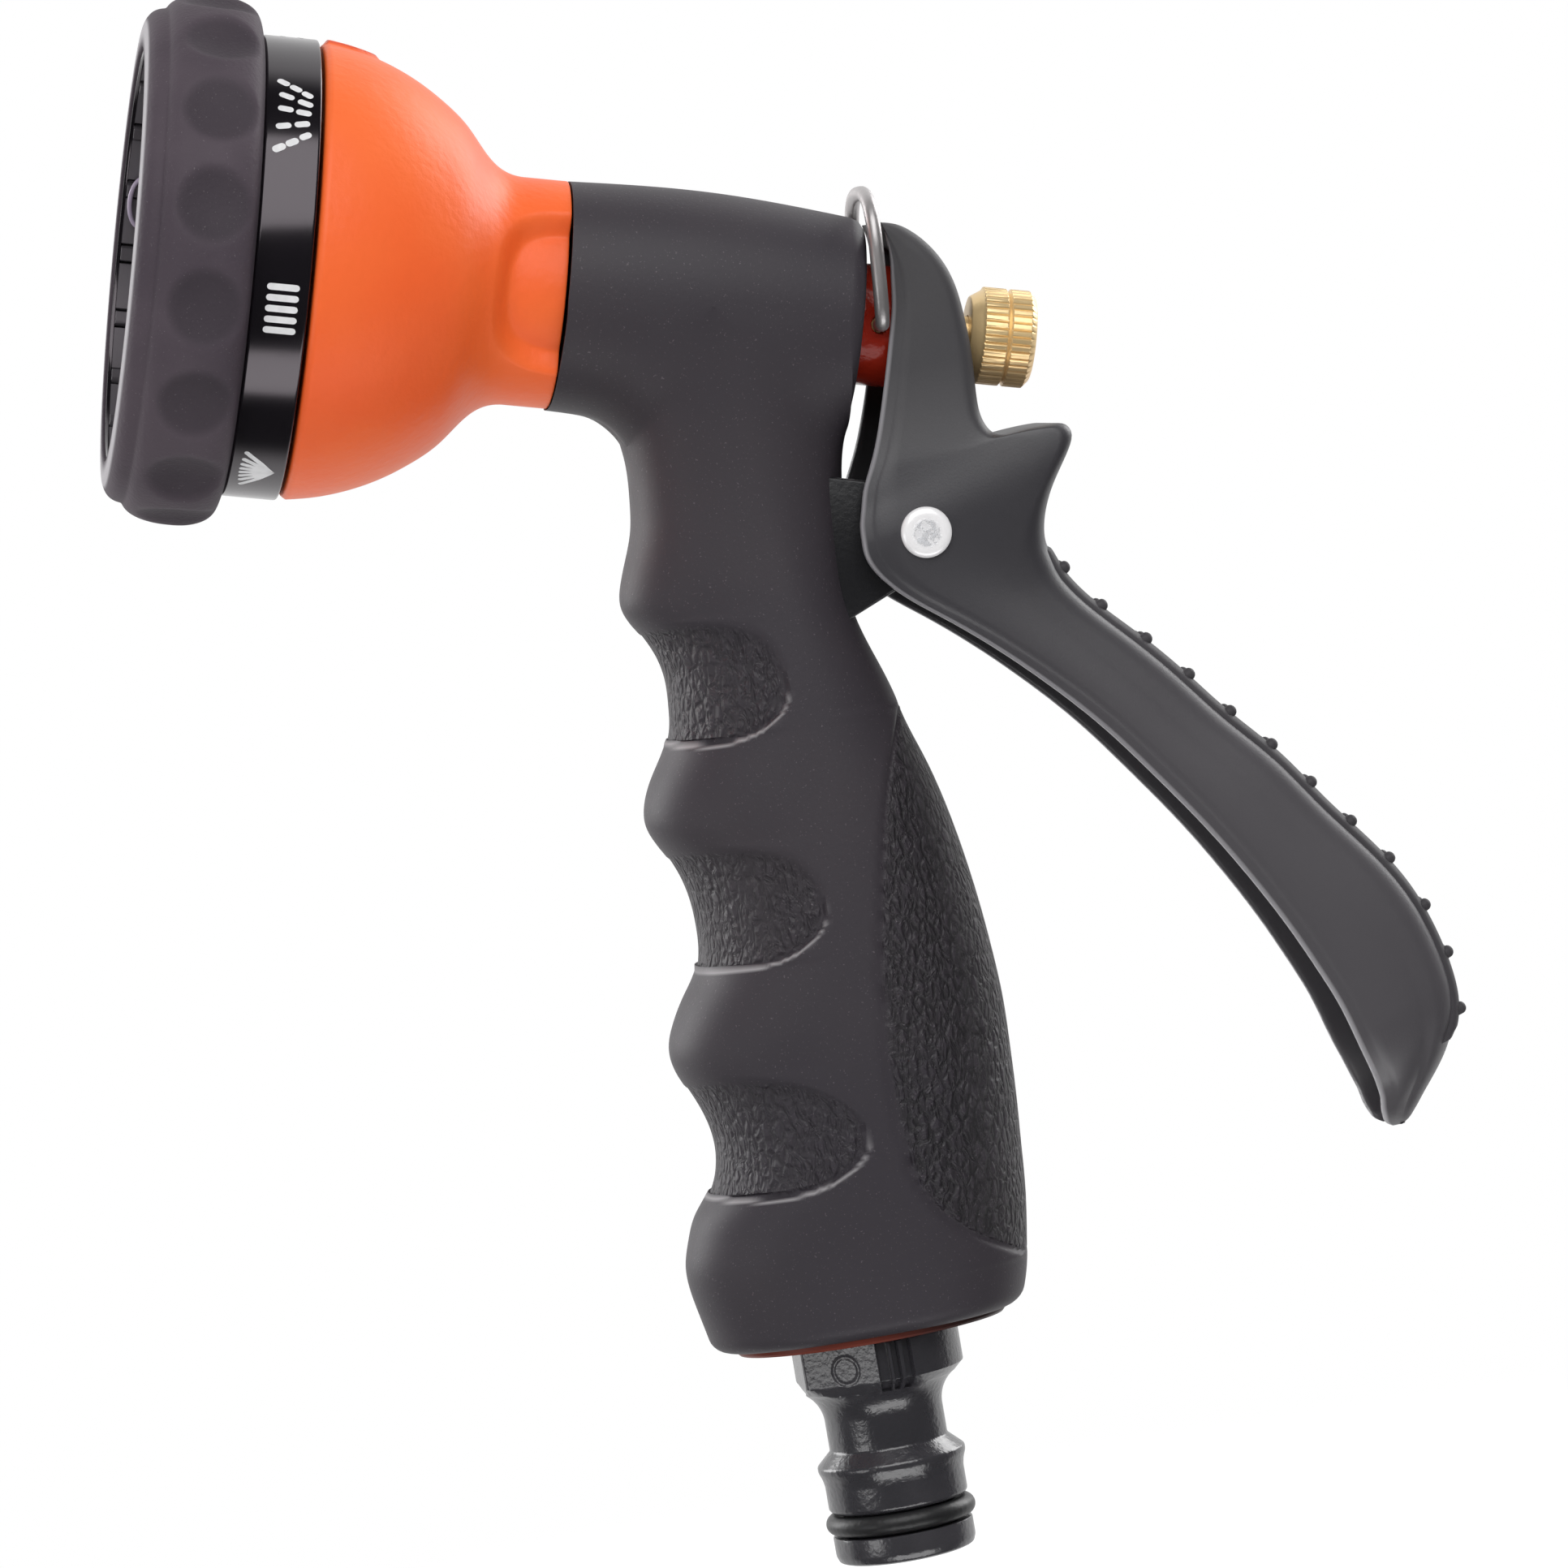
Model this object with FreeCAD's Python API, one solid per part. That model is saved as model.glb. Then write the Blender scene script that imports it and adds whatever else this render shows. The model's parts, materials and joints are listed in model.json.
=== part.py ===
import FreeCAD, Part
import math
import os

# Hose spray nozzle with a rear squeeze lever. Millimetres, +Z up.
# Origin: centre of the hose tail's end face. +X points to the rear, where the lever is, and the water
# leaves towards -X. The barrel is tilted nose up, so its pieces are drawn about the X axis in a frame
# of their own (x = distance behind the neck's front edge, z = height above the barrel's axis) and
# set_on_barrel() puts them in place.

# ---- whole object ----
barrel_pitch = 15.0           # degrees, nose up
neck_x = -15.1                # where the rubber sleeve starts, on the barrel's axis
neck_z = 146.9
moving_gap = 0.4              # air between pieces that move past each other
seat_gap = 0.1                # air round a piece that is pushed or moulded on
running_gap = 0.05            # radial air round a pin or stem that turns or slides

# ---- handle: three finger hollows in front, a palm swell behind ----
handle_bottom = 26.2
handle_top = 136.0            # inside the barrel
finger_pitch = 25.6
finger_depth = 4.2
top_finger_z = 100.4
crest_x = -13.9               # front crest over the top finger
crest_z = 113.3
crest_slope = 0.045
crest_bend = 0.00033
back_line = [(18.3, 26.2), (20.4, 43.0), (21.3, 60.0), (19.6, 77.0), (15.0, 94.0), (11.8, 107.0),
             (12.4, 120.0), (14.2, 136.0)]
side_line = [(12.9, 26.2), (14.6, 40.0), (15.1, 60.0), (14.2, 82.0), (12.6, 104.0), (11.6, 122.0),
             (11.2, 136.0)]
handle_levels = 17            # level sections, about four to a finger
core_levels = 5
sleeve_wall = 2.0
handle_edge = 1.6             # rounding of the sleeve's lower edge
casting_step = 0.7            # bare casting below the sleeve

# ---- barrel ----
barrel_length = 34.0
barrel_line = [(0.0, 12.8), (16.0, 13.1), (32.4, 11.75)]
barrel_edge = 1.5             # rounding where the sleeve's wall turns into its rear face
sleeve_end_wall = 1.2

# ---- bell and neck, in one piece with the core ----
bell_front = -29.1
bell_dome = [(-28.4, 25.6), (-19.9, 23.4), (-10.0, 15.9)]
bell_foot = [(-10.0, 15.9), (-8.3, 13.9), (-5.6, 12.8)]
bell_edge = 0.7
pointer_length = 5.2          # raised pad on top of the bell that marks the chosen pattern
pointer_width = 6.4
pointer_height = 0.5
neck_pocket_radius = 9.3      # hollow in each side of the neck, open towards the sleeve, at the neck's surface
neck_pocket_floor_radius = 7.0
neck_pocket_depth = 3.2
neck_pocket_x = 1.0

# ---- waterway and valve, along the barrel ----
riser_radius = 4.5
riser_bottom = 38.0
cored_handle_radius = 7.0     # the handle is cast hollow above the hose tail's socket
cored_handle_x = 3.2
cored_handle_bottom = 44.0
chamber_radius = 5.6
chamber_front = 6.0
seat_length = 3.0
seat_wall_radius = 5.5
throat_radius = 3.0
port_offset = 12.0
port_radius = 3.0
plug_radius = 4.6
plug_length = 4.0
plug_seal_thickness = 1.4
stem_radius = 2.0
gland_radius = 5.9
gland_length = 11.7
gland_hex = 9.6               # across flats
gland_head_length = 2.4
stem_ring_section = 1.5
spring_wire = 0.8
spring_radius = 3.6
port_pocket = 5.0
port_seal_length = 2.2
detent_pocket = 7.0

# ---- rear boss and lever pivot ----
boss_radius = 6.85
boss_length = 4.5             # how far it stands out of the sleeve
boss_spot_radius = 1.9        # flat ground on each side of the boss round the clip's hole
boss_spot_depth = 0.25
pivot_behind_barrel = 9.797   # from the barrel's rear end, along its axis
pivot_below_axis = 22.429
lug_radius = 5.6
lug_half_width = 8.1
rivet_radius = 2.4
rivet_head_radius = 2.9
rivet_head_height = 1.1

# ---- lever ----
lever_half_width = 10.6
lever_head_room = 0.3         # between the head's cheeks and the boss that they pass
lever_narrow_from = 5.1       # heights over the pivot between which it narrows to its head
lever_narrow_to = 15.1
lever_wall = 2.0
lever_arm_wall = 2.6          # the arm's back, which holds the pad
lever_cheek_wall = 1.4        # at the head
# Outline of the lever from the side, as (x, z) from its pivot.
head_back = [(1.2, 34.9), (2.2, 34.3), (4.6, 32.0), (6.8, 27.8), (7.5, 23.1), (7.6, 18.1), (7.3, 13.1),
             (8.1, 10.1), (10.1, 9.1)]
hook_tip = [(10.1, 9.1), (15.1, 9.0), (17.2, 8.3), (16.8, 7.3)]
arm_back = [(16.8, 7.3), (13.9, 2.7), (12.4, -1.9), (13.8, -6.7), (20.6, -15.5), (29.8, -25.6),
            (38.8, -38.3), (46.2, -50.3), (49.6, -58.9), (49.2, -64.7), (45.2, -70.5)]
arm_tip = [(45.2, -70.5), (41.5, -75.0)]
arm_front = [(41.5, -75.0), (39.5, -71.3), (36.2, -59.7), (30.6, -47.6), (22.8, -35.1), (12.7, -22.3),
             (2.3, -12.2), (-5.4, -6.1)]
nose_front = [(-5.4, -6.1), (-8.3, -1.9), (-8.3, 2.9)]
head_front = [(-8.3, 2.9), (-5.0, 6.4), (-1.9, 13.5), (0.4, 22.7), (1.6, 32.1)]
slot_low = 3.4                # stem slot in the head, below and above the barrel's axis
slot_high = 4.5
slot_half_width = 2.4
pad_depth = 1.3               # how far the pad is let into the arm
pad_proud = 0.5
pad_side_margin = 1.9

# ---- flow nut on the stem ----
nut_behind_gland = 6.0        # the lever's head works in this space
nut_length = 6.9
nut_cone_length = 0.9
nut_radius = 5.5
nut_front_radius = 3.2
nut_groove_at = 3.8           # behind the nut's front
nut_groove_depth = 0.4

# ---- lock clip: a wire bail in two holes of the rear boss ----
clip_wire = 1.65
clip_ahead_of_boss_end = 2.8
clip_reach = 14.86            # pivot to the crown's centreline
clip_side_room = 0.375        # between each leg and the lever's head
clip_lean = -11.0             # degrees, forward of square to the barrel
clip_foot_bend = 1.2
clip_crown_bend = 4.5

# ---- dial ----
band_front = -35.3
band_radius = 25.8
shell_tube_radius = 24.3
shell_bore_radius = 22.6
shell_front = -48.0
plate_radius = 24.4
plate_thickness = 2.0
gasket_thickness = 0.8
face_front = -42.0
face_wall = 2.0
chamber_count = 7
chamber_ring = 13.4           # radius of the circle the chambers sit on
chamber_size = 4.5
hub_radius = 4.5
hub_end = -41.4
screw_head_radius = 5.2
screw_head_length = 2.6
screw_radius = 2.0
screw_length = 11.0
washer_radius = 6.6
washer_thickness = 0.8
detent_ring = 19.6
detent_ball_radius = 1.6
detent_dimple_depth = 0.5

# ---- rubber grip ring on the dial ----
ring_front = -49.4
ring_lip_radius = 27.6
ring_lip_back = -46.6
ring_crest_x = -41.0
ring_crest_radius = 29.6
ring_back_radius = 25.9
ring_mouth_radius = 23.2
scallop_count = 16
scallop_ball = 8.2
scallop_depth = 1.3

# ---- hose tail ----
tail_bore = 4.75
tail_tip_radius = 8.0
tail_tip_edge = 0.8
tail_groove_low = 3.2
tail_groove_high = 5.9
tail_groove_radius = 6.25
tail_body_radius = 7.95
tail_ridge_radius = 8.45
tail_ridge_z = 11.0
tail_neck_radius = 6.75
tail_neck_low = 12.9
tail_neck_high = 16.4
collar_low = 20.6
collar_top = 25.3
collar_radius = 9.5
collar_flat = 8.3             # distance of each flat from the axis
collar_flat_turns = (122.0, 180.0, 238.0)
collar_groove_turns = (74.0, 82.5, 91.0, 269.0, 277.5, 286.0)
collar_groove_width = 0.9
collar_groove_depth = 0.7
spigot_radius = 8.2
spigot_top = 36.0
tail_ring_section = 2.5
tail_washer_thickness = 1.5

# ---- places that follow from the sizes above ----
pitch = math.radians(barrel_pitch)
boss_end = barrel_length + boss_length
gland_front = boss_end - gland_length
pivot_along = barrel_length + pivot_behind_barrel
pivot_x = neck_x + pivot_along * math.cos(pitch) - pivot_below_axis * math.sin(pitch)
pivot_z = neck_z - pivot_along * math.sin(pitch) - pivot_below_axis * math.cos(pitch)
lever_head_half_width = boss_radius + lever_head_room + lever_cheek_wall
nut_front = boss_end + gland_head_length + nut_behind_gland
nut_back = nut_front + nut_length
clip_x = boss_end - clip_ahead_of_boss_end
clip_half_width = lever_head_half_width + clip_side_room + clip_wire / 2
clip_foot_end = gland_radius + 4 * running_gap


def vector(x, z, y=0.0):
    return FreeCAD.Vector(x, y, z)


def outline(*runs):
    """Face in the XZ plane from runs of points that share their ends.

    Each run is ("straight" | "arc" | "curve", points).
    """
    edges = []
    for kind, points in runs:
        corners = [vector(x, z) for x, z in points]
        if kind == "arc":
            edges.append(Part.Arc(*corners).toShape())
        elif kind == "curve":
            curve = Part.BSplineCurve()
            curve.interpolate(corners)
            edges.append(curve.toShape())
        else:
            edges += [Part.makeLine(a, b) for a, b in zip(corners, corners[1:])]
    return Part.Face(Part.Wire(edges))


def turned_on_x(*runs):
    """Solid of revolution about the X axis; the points are (x, radius)."""
    return outline(*runs).revolve(vector(0, 0), vector(1, 0), 360)


def turned_on_z(*runs):
    """Solid of revolution about the Z axis; the points are (radius, z)."""
    return outline(*runs).revolve(vector(0, 0), vector(0, 1), 360)


def slab(face, half_width):
    """The face swept evenly to both sides of the middle plane."""
    face = face.copy()
    face.translate(vector(0, 0, -half_width))
    return face.extrude(vector(0, 0, 2 * half_width))


def rod_x(radius, start, end, z=0.0, y=0.0):
    return Part.makeCylinder(radius, end - start, vector(start, z, y), vector(1, 0))


def rod_y(radius, start, end, x, z):
    return Part.makeCylinder(radius, end - start, vector(x, z, start), vector(0, 0, 1))


def rod_z(radius, start, end, x=0.0):
    return Part.makeCylinder(radius, end - start, vector(x, start), vector(0, 1))


def set_on_barrel(shape):
    shape = shape.copy()
    shape.rotate(vector(0, 0), vector(0, 0, 1), barrel_pitch)
    shape.translate(vector(neck_x, neck_z))
    return shape


def turned_copies(shape, count, start=0.0):
    """Copies of the shape spaced evenly round the X axis."""
    copies = []
    for number in range(count):
        copy = shape.copy()
        copy.rotate(vector(0, 0), vector(1, 0), start + number * 360.0 / count)
        copies.append(copy)
    return copies


def value_at(points, height):
    """Smooth line through (value, height) points, read at one height."""
    line = Part.BSplineCurve()
    line.interpolate(Points=[vector(x, z) for x, z in points], Parameters=[z for x, z in points])
    return line.value(height).x


def offset_line(points, distance):
    """Points moved square to the line that they make, to its right-hand side as it is walked."""
    moved = []
    for index, (x, z) in enumerate(points):
        before = points[max(index - 1, 0)]
        after = points[min(index + 1, len(points) - 1)]
        run_x, run_z = after[0] - before[0], after[1] - before[1]
        length = math.hypot(run_x, run_z)
        moved.append((x + distance * run_z / length, z - distance * run_x / length))
    return moved


# ---------------------------------------------------------------- handle and barrel form
def finger_wave(height):
    """1 at the middle of a finger hollow, 0 on the crest between two fingers."""
    return (1 + math.cos(2 * math.pi * (height - top_finger_z) / finger_pitch)) / 2


def handle_section(height, inset, wave):
    """Closed smooth curve at one height, pulled in by inset all round; wave says how deep the front lies."""
    below = crest_z - height
    crest = crest_x - crest_slope * below - crest_bend * below * below
    front = crest + finger_depth * wave + inset
    back = value_at(back_line, height) - inset
    half_width = value_at(side_line, height) - inset
    middle, half_depth = (front + back) / 2, (back - front) / 2
    centre = vector(middle, height)
    if half_depth > half_width:
        curve = Part.Ellipse(vector(back, height), vector(middle, height, half_width), centre)
    else:
        curve = Part.Ellipse(vector(middle, height, half_width), vector(front, height), centre)
    return Part.Wire([curve.toShape()])


def rubber_handle():
    """Outside of the handle, with its finger hollows, lofted from its bottom up into the barrel."""
    rise = (handle_top - handle_bottom) / (handle_levels - 1)
    heights = [handle_bottom + rise * level for level in range(handle_levels)]
    return Part.makeLoft([handle_section(z, 0, finger_wave(z)) for z in heights], True, False)


def core_handle(inset, bottom):
    """Plain handle of the casting: it keeps behind the deepest part of the finger hollows."""
    rise = (handle_top - bottom) / (core_levels - 1)
    heights = [bottom + rise * level for level in range(core_levels)]
    return Part.makeLoft([handle_section(z, inset, 1) for z in heights], True, True)


def barrel_form(inset, end):
    """Barrel turned about its axis, pulled in by inset; end is its rear face."""
    wall = [(x, radius - inset) for x, radius in barrel_line]
    kind = "arc" if inset == 0 else "straight"
    edge_x, edge_radius = wall[-1]
    corner = [(edge_x, edge_radius), (end - barrel_edge * 0.3, edge_radius - barrel_edge * 0.35),
              (end, edge_radius - barrel_edge)]
    return turned_on_x(("straight", [(0, 0), wall[0]]), (kind, wall), (kind, corner),
                       ("straight", [corner[-1], (end, 0), (0, 0)]))


def core_form(inset, bottom, end):
    """Handle and barrel of the casting, joined in one form."""
    return set_on_barrel(barrel_form(inset, end)).fuse(core_handle(inset, bottom))


# ---------------------------------------------------------------- die-cast body
def bell_form():
    """Bell that carries the dial, with the neck behind it."""
    rim_x, rim_radius = bell_dome[0]
    neck_radius = bell_foot[-1][1]
    face_radius = rim_radius - bell_edge
    bell = turned_on_x(
        ("straight", [(bell_front, 0), (bell_front, face_radius), (rim_x, rim_radius)]),
        ("arc", bell_dome), ("arc", bell_foot),
        ("straight", [bell_foot[-1], (0, neck_radius), (0, 0), (bell_front, 0)]))
    pad_front = bell_front + 0.6
    pad = Part.makeBox(pointer_length, pointer_width, 4,
                       vector(pad_front, bell_dome[0][1] + pointer_height - 4.5, -pointer_width / 2))
    bell = bell.fuse(pad)
    floor = neck_radius - neck_pocket_depth
    slope = (neck_pocket_radius - neck_pocket_floor_radius) / neck_pocket_depth
    rise = rim_radius - floor
    for side in (-1, 1):
        hollow = Part.makeCone(neck_pocket_floor_radius, neck_pocket_floor_radius + slope * rise, rise,
                               vector(neck_pocket_x, 0, side * floor), vector(0, 0, side))
        bell = bell.cut(hollow)
    return bell


def lug_form():
    """Ear behind the handle that the lever turns on."""
    root_x = value_at(back_line, pivot_z) - 4
    top, bottom = pivot_z + lug_radius + 4.5, pivot_z - lug_radius - 3.5
    face = outline(("straight", [(root_x, bottom), (pivot_x, pivot_z - lug_radius)]),
                   ("straight", [(pivot_x, pivot_z - lug_radius), (pivot_x, pivot_z + lug_radius)]),
                   ("straight", [(pivot_x, pivot_z + lug_radius), (root_x, top), (root_x, bottom)]))
    ear = slab(face, lug_half_width)
    return ear.fuse(rod_y(lug_radius, -lug_half_width, lug_half_width, pivot_x, pivot_z))


def waterway():
    """Everything bored or cored out of the casting, in the barrel's frame."""
    seat_start = chamber_front - seat_length
    port_start = vector(0.5, 0)
    port_end = vector(bell_front - 0.5, -port_offset)
    run = port_end - port_start
    cuts = [rod_x(chamber_radius, chamber_front, gland_front + 1),
            rod_x(seat_wall_radius + seat_gap, seat_start, chamber_front + 1),
            rod_x(throat_radius, -1.0, seat_start + 0.5),
            Part.makeCylinder(port_radius, run.Length, port_start, run),
            rod_x(gland_radius + running_gap, gland_front, boss_end + 1),
            rod_x(port_radius + 1.4, bell_front - 1, bell_front + port_pocket, -port_offset),
            rod_x(detent_ball_radius + seat_gap, bell_front - 1, bell_front + detent_pocket, detent_ring),
            rod_x(screw_radius + running_gap, hub_end - 1, hub_end + screw_length + 1)]
    return cuts


def body_casting():
    core_end = barrel_length - sleeve_end_wall - seat_gap
    core = core_form(sleeve_wall + seat_gap, handle_bottom - casting_step, core_end)
    boss = rod_x(boss_radius, barrel_length - 6, boss_end)
    hub = rod_x(hub_radius, hub_end, bell_front + 1)
    body = core.fuse(set_on_barrel(bell_form().fuse(boss).fuse(hub)))
    body = body.fuse(lug_form())
    for cut in waterway():
        body = body.cut(set_on_barrel(cut))
    clip_hole = rod_y(clip_wire / 2 + running_gap, -boss_radius - 1, boss_radius + 1, clip_x, 0)
    body = body.cut(set_on_barrel(clip_hole))
    for side in (-1, 1):
        flat = side * (boss_radius - boss_spot_depth)
        away = side * (boss_radius + 1)
        spot = rod_y(boss_spot_radius, min(flat, away), max(flat, away), clip_x, 0)
        body = body.cut(set_on_barrel(spot))
    body = body.cut(rod_y(rivet_radius + running_gap, -20, 20, pivot_x, pivot_z))
    chamber_height = neck_z + neck_x * math.tan(pitch)
    body = body.cut(rod_z(riser_radius, riser_bottom - 1, chamber_height))
    body = body.cut(rod_z(cored_handle_radius, cored_handle_bottom, chamber_height, cored_handle_x))
    return body.cut(rod_z(spigot_radius + seat_gap, 0, riser_bottom))


def grip_sleeve():
    handle = rubber_handle()
    rim = [edge for edge in handle.Edges if edge.BoundBox.ZMax < handle_bottom + 0.01]
    outer = set_on_barrel(barrel_form(0, barrel_length)).fuse(handle.makeFillet(handle_edge, rim))
    inner = core_form(sleeve_wall, handle_bottom - casting_step, barrel_length - sleeve_end_wall)
    sleeve = outer.cut(inner)
    sleeve = sleeve.cut(set_on_barrel(rod_x(boss_radius + seat_gap, barrel_length - 8, boss_end)))
    back, low, high = pivot_x - 16, pivot_z - lug_radius, pivot_z + lug_radius
    ear = outline(("straight", [(back, low - 5.2), (pivot_x, low - 1), (pivot_x, high + 1),
                                (back, high + 6.4), (back, low - 5.2)]))
    return sleeve.cut(slab(ear, lug_half_width + seat_gap))


def stem_gland():
    body = rod_x(gland_radius, gland_front, boss_end)
    head = hexagon_x(gland_hex / math.sqrt(3), boss_end, boss_end + gland_head_length)
    groove = rod_x(stem_radius + 2 * stem_ring_section * 0.55 + 0.3, gland_front + 2, gland_front + 4)
    bore = rod_x(stem_radius + running_gap, gland_front - 1, boss_end + gland_head_length + 1)
    return body.fuse(head).cut(groove).cut(bore)


def stem_o_ring():
    return tube_x(stem_radius + 0.1, stem_ring_section, gland_front + 2.2, gland_front + 3.8)


def tube_x(inner, wall, start, end, z=0.0):
    """Tube along X; it stands for a coil spring, whose turns nothing shows, or for a hidden ring."""
    return rod_x(inner + wall, start, end, z).cut(rod_x(inner, start - 1, end + 1, z))


# ---------------------------------------------------------------- valve
def valve_seat():
    start = chamber_front - seat_length
    ring = rod_x(seat_wall_radius, start, chamber_front)
    return ring.cut(rod_x(throat_radius, start - 1, chamber_front + 1))


def plug_seal():
    start = chamber_front + moving_gap
    disc = rod_x(plug_radius, start, start + plug_seal_thickness)
    return disc.cut(rod_x(stem_radius + running_gap, start - 1, start + plug_seal_thickness + 1))


def valve_plug():
    start = chamber_front + moving_gap + plug_seal_thickness
    plug = rod_x(plug_radius, start, start + plug_length)
    return plug.cut(rod_x(stem_radius + running_gap, start - 1, start + plug_length + 1))


def valve_stem():
    tip = chamber_front + moving_gap - 2.6
    stem = rod_x(stem_radius, tip + 1.0, nut_back - 0.3)
    head = rod_x(throat_radius - 0.6, tip, tip + 2.3)
    return stem.fuse(head).removeSplitter()


def valve_spring():
    start = chamber_front + moving_gap + plug_seal_thickness + plug_length + seat_gap
    return tube_x(spring_radius - spring_wire / 2, spring_wire, start, gland_front - seat_gap)


# ---------------------------------------------------------------- dial
def dial_back():
    return bell_front - moving_gap


def dial_shell():
    """Band and cup of the dial, open at the back for the port plate."""
    back = dial_back()
    shoulder = back - plate_thickness - seat_gap
    step = band_front + seat_gap
    socket = plate_radius + seat_gap
    shell = turned_on_x(("straight", [
        (back, band_radius - 0.4), (back - 0.5, band_radius), (step, band_radius), (step, shell_tube_radius),
        (shell_front, shell_tube_radius), (shell_front, shell_bore_radius), (shoulder, shell_bore_radius),
        (shoulder, socket), (back, socket), (back, band_radius - 0.4)]))
    return shell


def hexagon_x(corner, start, end, z=0.0, y=0.0):
    """Six-sided bar along X; corner is the distance of its corners from its middle."""
    corners = []
    for number in range(7):
        turn = math.radians(60 * number)
        corners.append(vector(start, z + corner * math.sin(turn), y + corner * math.cos(turn)))
    return Part.Face(Part.makePolygon(corners)).extrude(vector(end - start, 0))


def port_plate():
    """Disc that slides round on the body's sprung seal, with one port for each pattern."""
    back = dial_back()
    front = back - plate_thickness
    plate = rod_x(plate_radius, front, back)
    plate = plate.cut(rod_x(hub_radius + running_gap, front - 1, back + 1))
    for port in turned_copies(rod_x(2.2, front - 1, back + 1, -port_offset), chamber_count):
        plate = plate.cut(port)
    seat = hexagon_x(1.2, back - detent_dimple_depth, back + 1, detent_ring)
    for dimple in turned_copies(seat, chamber_count):
        plate = plate.cut(dimple)
    return plate


def face_gasket():
    back = dial_back() - plate_thickness
    gasket = rod_x(shell_bore_radius - seat_gap, back - gasket_thickness, back)
    gasket = gasket.cut(rod_x(hub_radius + 1.2, back - gasket_thickness - 1, back + 1))
    for port in turned_copies(rod_x(2.8, back - gasket_thickness - 1, back + 1, -port_offset), chamber_count):
        gasket = gasket.cut(port)
    return gasket


def nozzle_holes():
    """Openings of the patterns, each in its own chamber, cut through the front wall."""
    start, end = face_front - 1, face_front + face_wall + 1
    ring = -chamber_ring
    steps = (-1, 0, 1)
    circle = [math.radians(45 * k) for k in range(8)]
    cone = rod_x(2.9, start, end, ring).cut(rod_x(1.9, start, end, ring))
    for angle in (30, 150, 270):
        bridge = Part.makeBox(end - start, 4.0, 0.9, vector(start, -0.45, 0))
        bridge.rotate(vector(start, 0), vector(1, 0), angle)
        bridge.translate(vector(0, ring))
        cone = cone.cut(bridge)
    depth = end - start
    jet = [rod_x(1.5, start, end, ring)]
    shower = [hexagon_x(0.5, start, end, ring + 2.6 * math.cos(a), 2.6 * math.sin(a)) for a in circle]
    fan = [Part.makeBox(depth, 6.4, 1.0, vector(start, ring - 0.5, -3.2))]
    rain = [hexagon_x(0.4, start, end, ring + 1.8 * z, 1.8 * y) for z in steps for y in steps]
    flood = [rod_x(2.4, start, end, ring)]
    flat = [Part.makeBox(depth, 0.9, 6.0, vector(start, ring - 3.0, y - 0.45)) for y in (-1.6, 1.6)]
    patterns = [jet, shower, fan, rain, [cone], flood, flat]
    cuts = []
    for number, pattern in enumerate(patterns):
        for hole in pattern:
            hole = hole.copy()
            hole.rotate(vector(0, 0), vector(1, 0), number * 360.0 / chamber_count)
            cuts.append(hole)
    return cuts


def spray_face():
    """Plate with a chamber behind each pattern."""
    back = dial_back() - plate_thickness - gasket_thickness
    face = rod_x(shell_bore_radius - seat_gap, face_front, back)
    face = face.cut(rod_x(hub_radius + running_gap, face_front - 1, back + 1))
    chamber = rod_x(chamber_size, face_front + face_wall, back + 1, -chamber_ring)
    for cut in turned_copies(chamber, chamber_count) + nozzle_holes():
        face = face.cut(cut)
    return face


def dial_washer():
    back = hub_end
    return rod_x(washer_radius, face_front - moving_gap - washer_thickness, face_front - moving_gap).cut(
        rod_x(screw_radius + running_gap, back - 5, back + 5))


def dial_screw():
    seat = face_front - moving_gap - washer_thickness
    head = rod_x(screw_head_radius, seat - screw_head_length, seat)
    front_edges = [edge for edge in head.Edges if edge.BoundBox.XMax < seat - screw_head_length + 0.01]
    head = head.makeFillet(0.8, front_edges)
    slot = rod_x(1.9, seat - screw_head_length - 1, seat - screw_head_length + 1.6)
    return head.fuse(rod_x(screw_radius, seat - 0.5, hub_end + screw_length)).cut(slot)


def dial_grip_ring():
    """Rubber ring with a domed outside, scalloped for the fingers."""
    back = band_front
    ring = turned_on_x(
        ("straight", [(back, shell_tube_radius + seat_gap), (back, ring_back_radius)]),
        ("arc", [(back, ring_back_radius), (back - 0.8, 27.6), (back - 2.8, 28.9)]),
        ("arc", [(back - 2.8, 28.9), (ring_crest_x, ring_crest_radius), (ring_lip_back, 28.0)]),
        ("straight", [(ring_lip_back, 28.0), (ring_lip_back - 0.3, ring_lip_radius - 0.2)]),
        ("arc", [(ring_lip_back - 0.3, ring_lip_radius - 0.2), (ring_lip_back - 2.0, 27.2),
                 (ring_front, 25.6)]),
        ("straight", [(ring_front, 25.6), (ring_front, ring_mouth_radius),
                      (shell_front - seat_gap, ring_mouth_radius),
                      (shell_front - seat_gap, shell_tube_radius + seat_gap),
                      (back, shell_tube_radius + seat_gap)]))
    away = ring_crest_radius - scallop_depth + scallop_ball
    ball = Part.makeSphere(scallop_ball, vector(ring_crest_x, away))
    for scallop in turned_copies(ball, scallop_count, 180.0 / scallop_count):
        ring = ring.cut(scallop)
    return ring


def port_seal():
    start = bell_front - 0.1
    return rod_x(port_radius + 1.3, start, start + port_seal_length, -port_offset).cut(
        rod_x(port_radius - 1.0, start - 1, start + 4, -port_offset))


def port_spring():
    start = bell_front + port_seal_length
    return tube_x(port_radius + 0.3, 0.7, start, bell_front + port_pocket - seat_gap, -port_offset)


def detent_ball():
    return Part.makeSphere(detent_ball_radius, vector(bell_front + detent_ball_radius - 0.15, detent_ring))


def detent_spring():
    start = bell_front + 2 * detent_ball_radius - 0.05
    return tube_x(0.9, 0.5, start, bell_front + detent_pocket - seat_gap, detent_ring)


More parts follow.
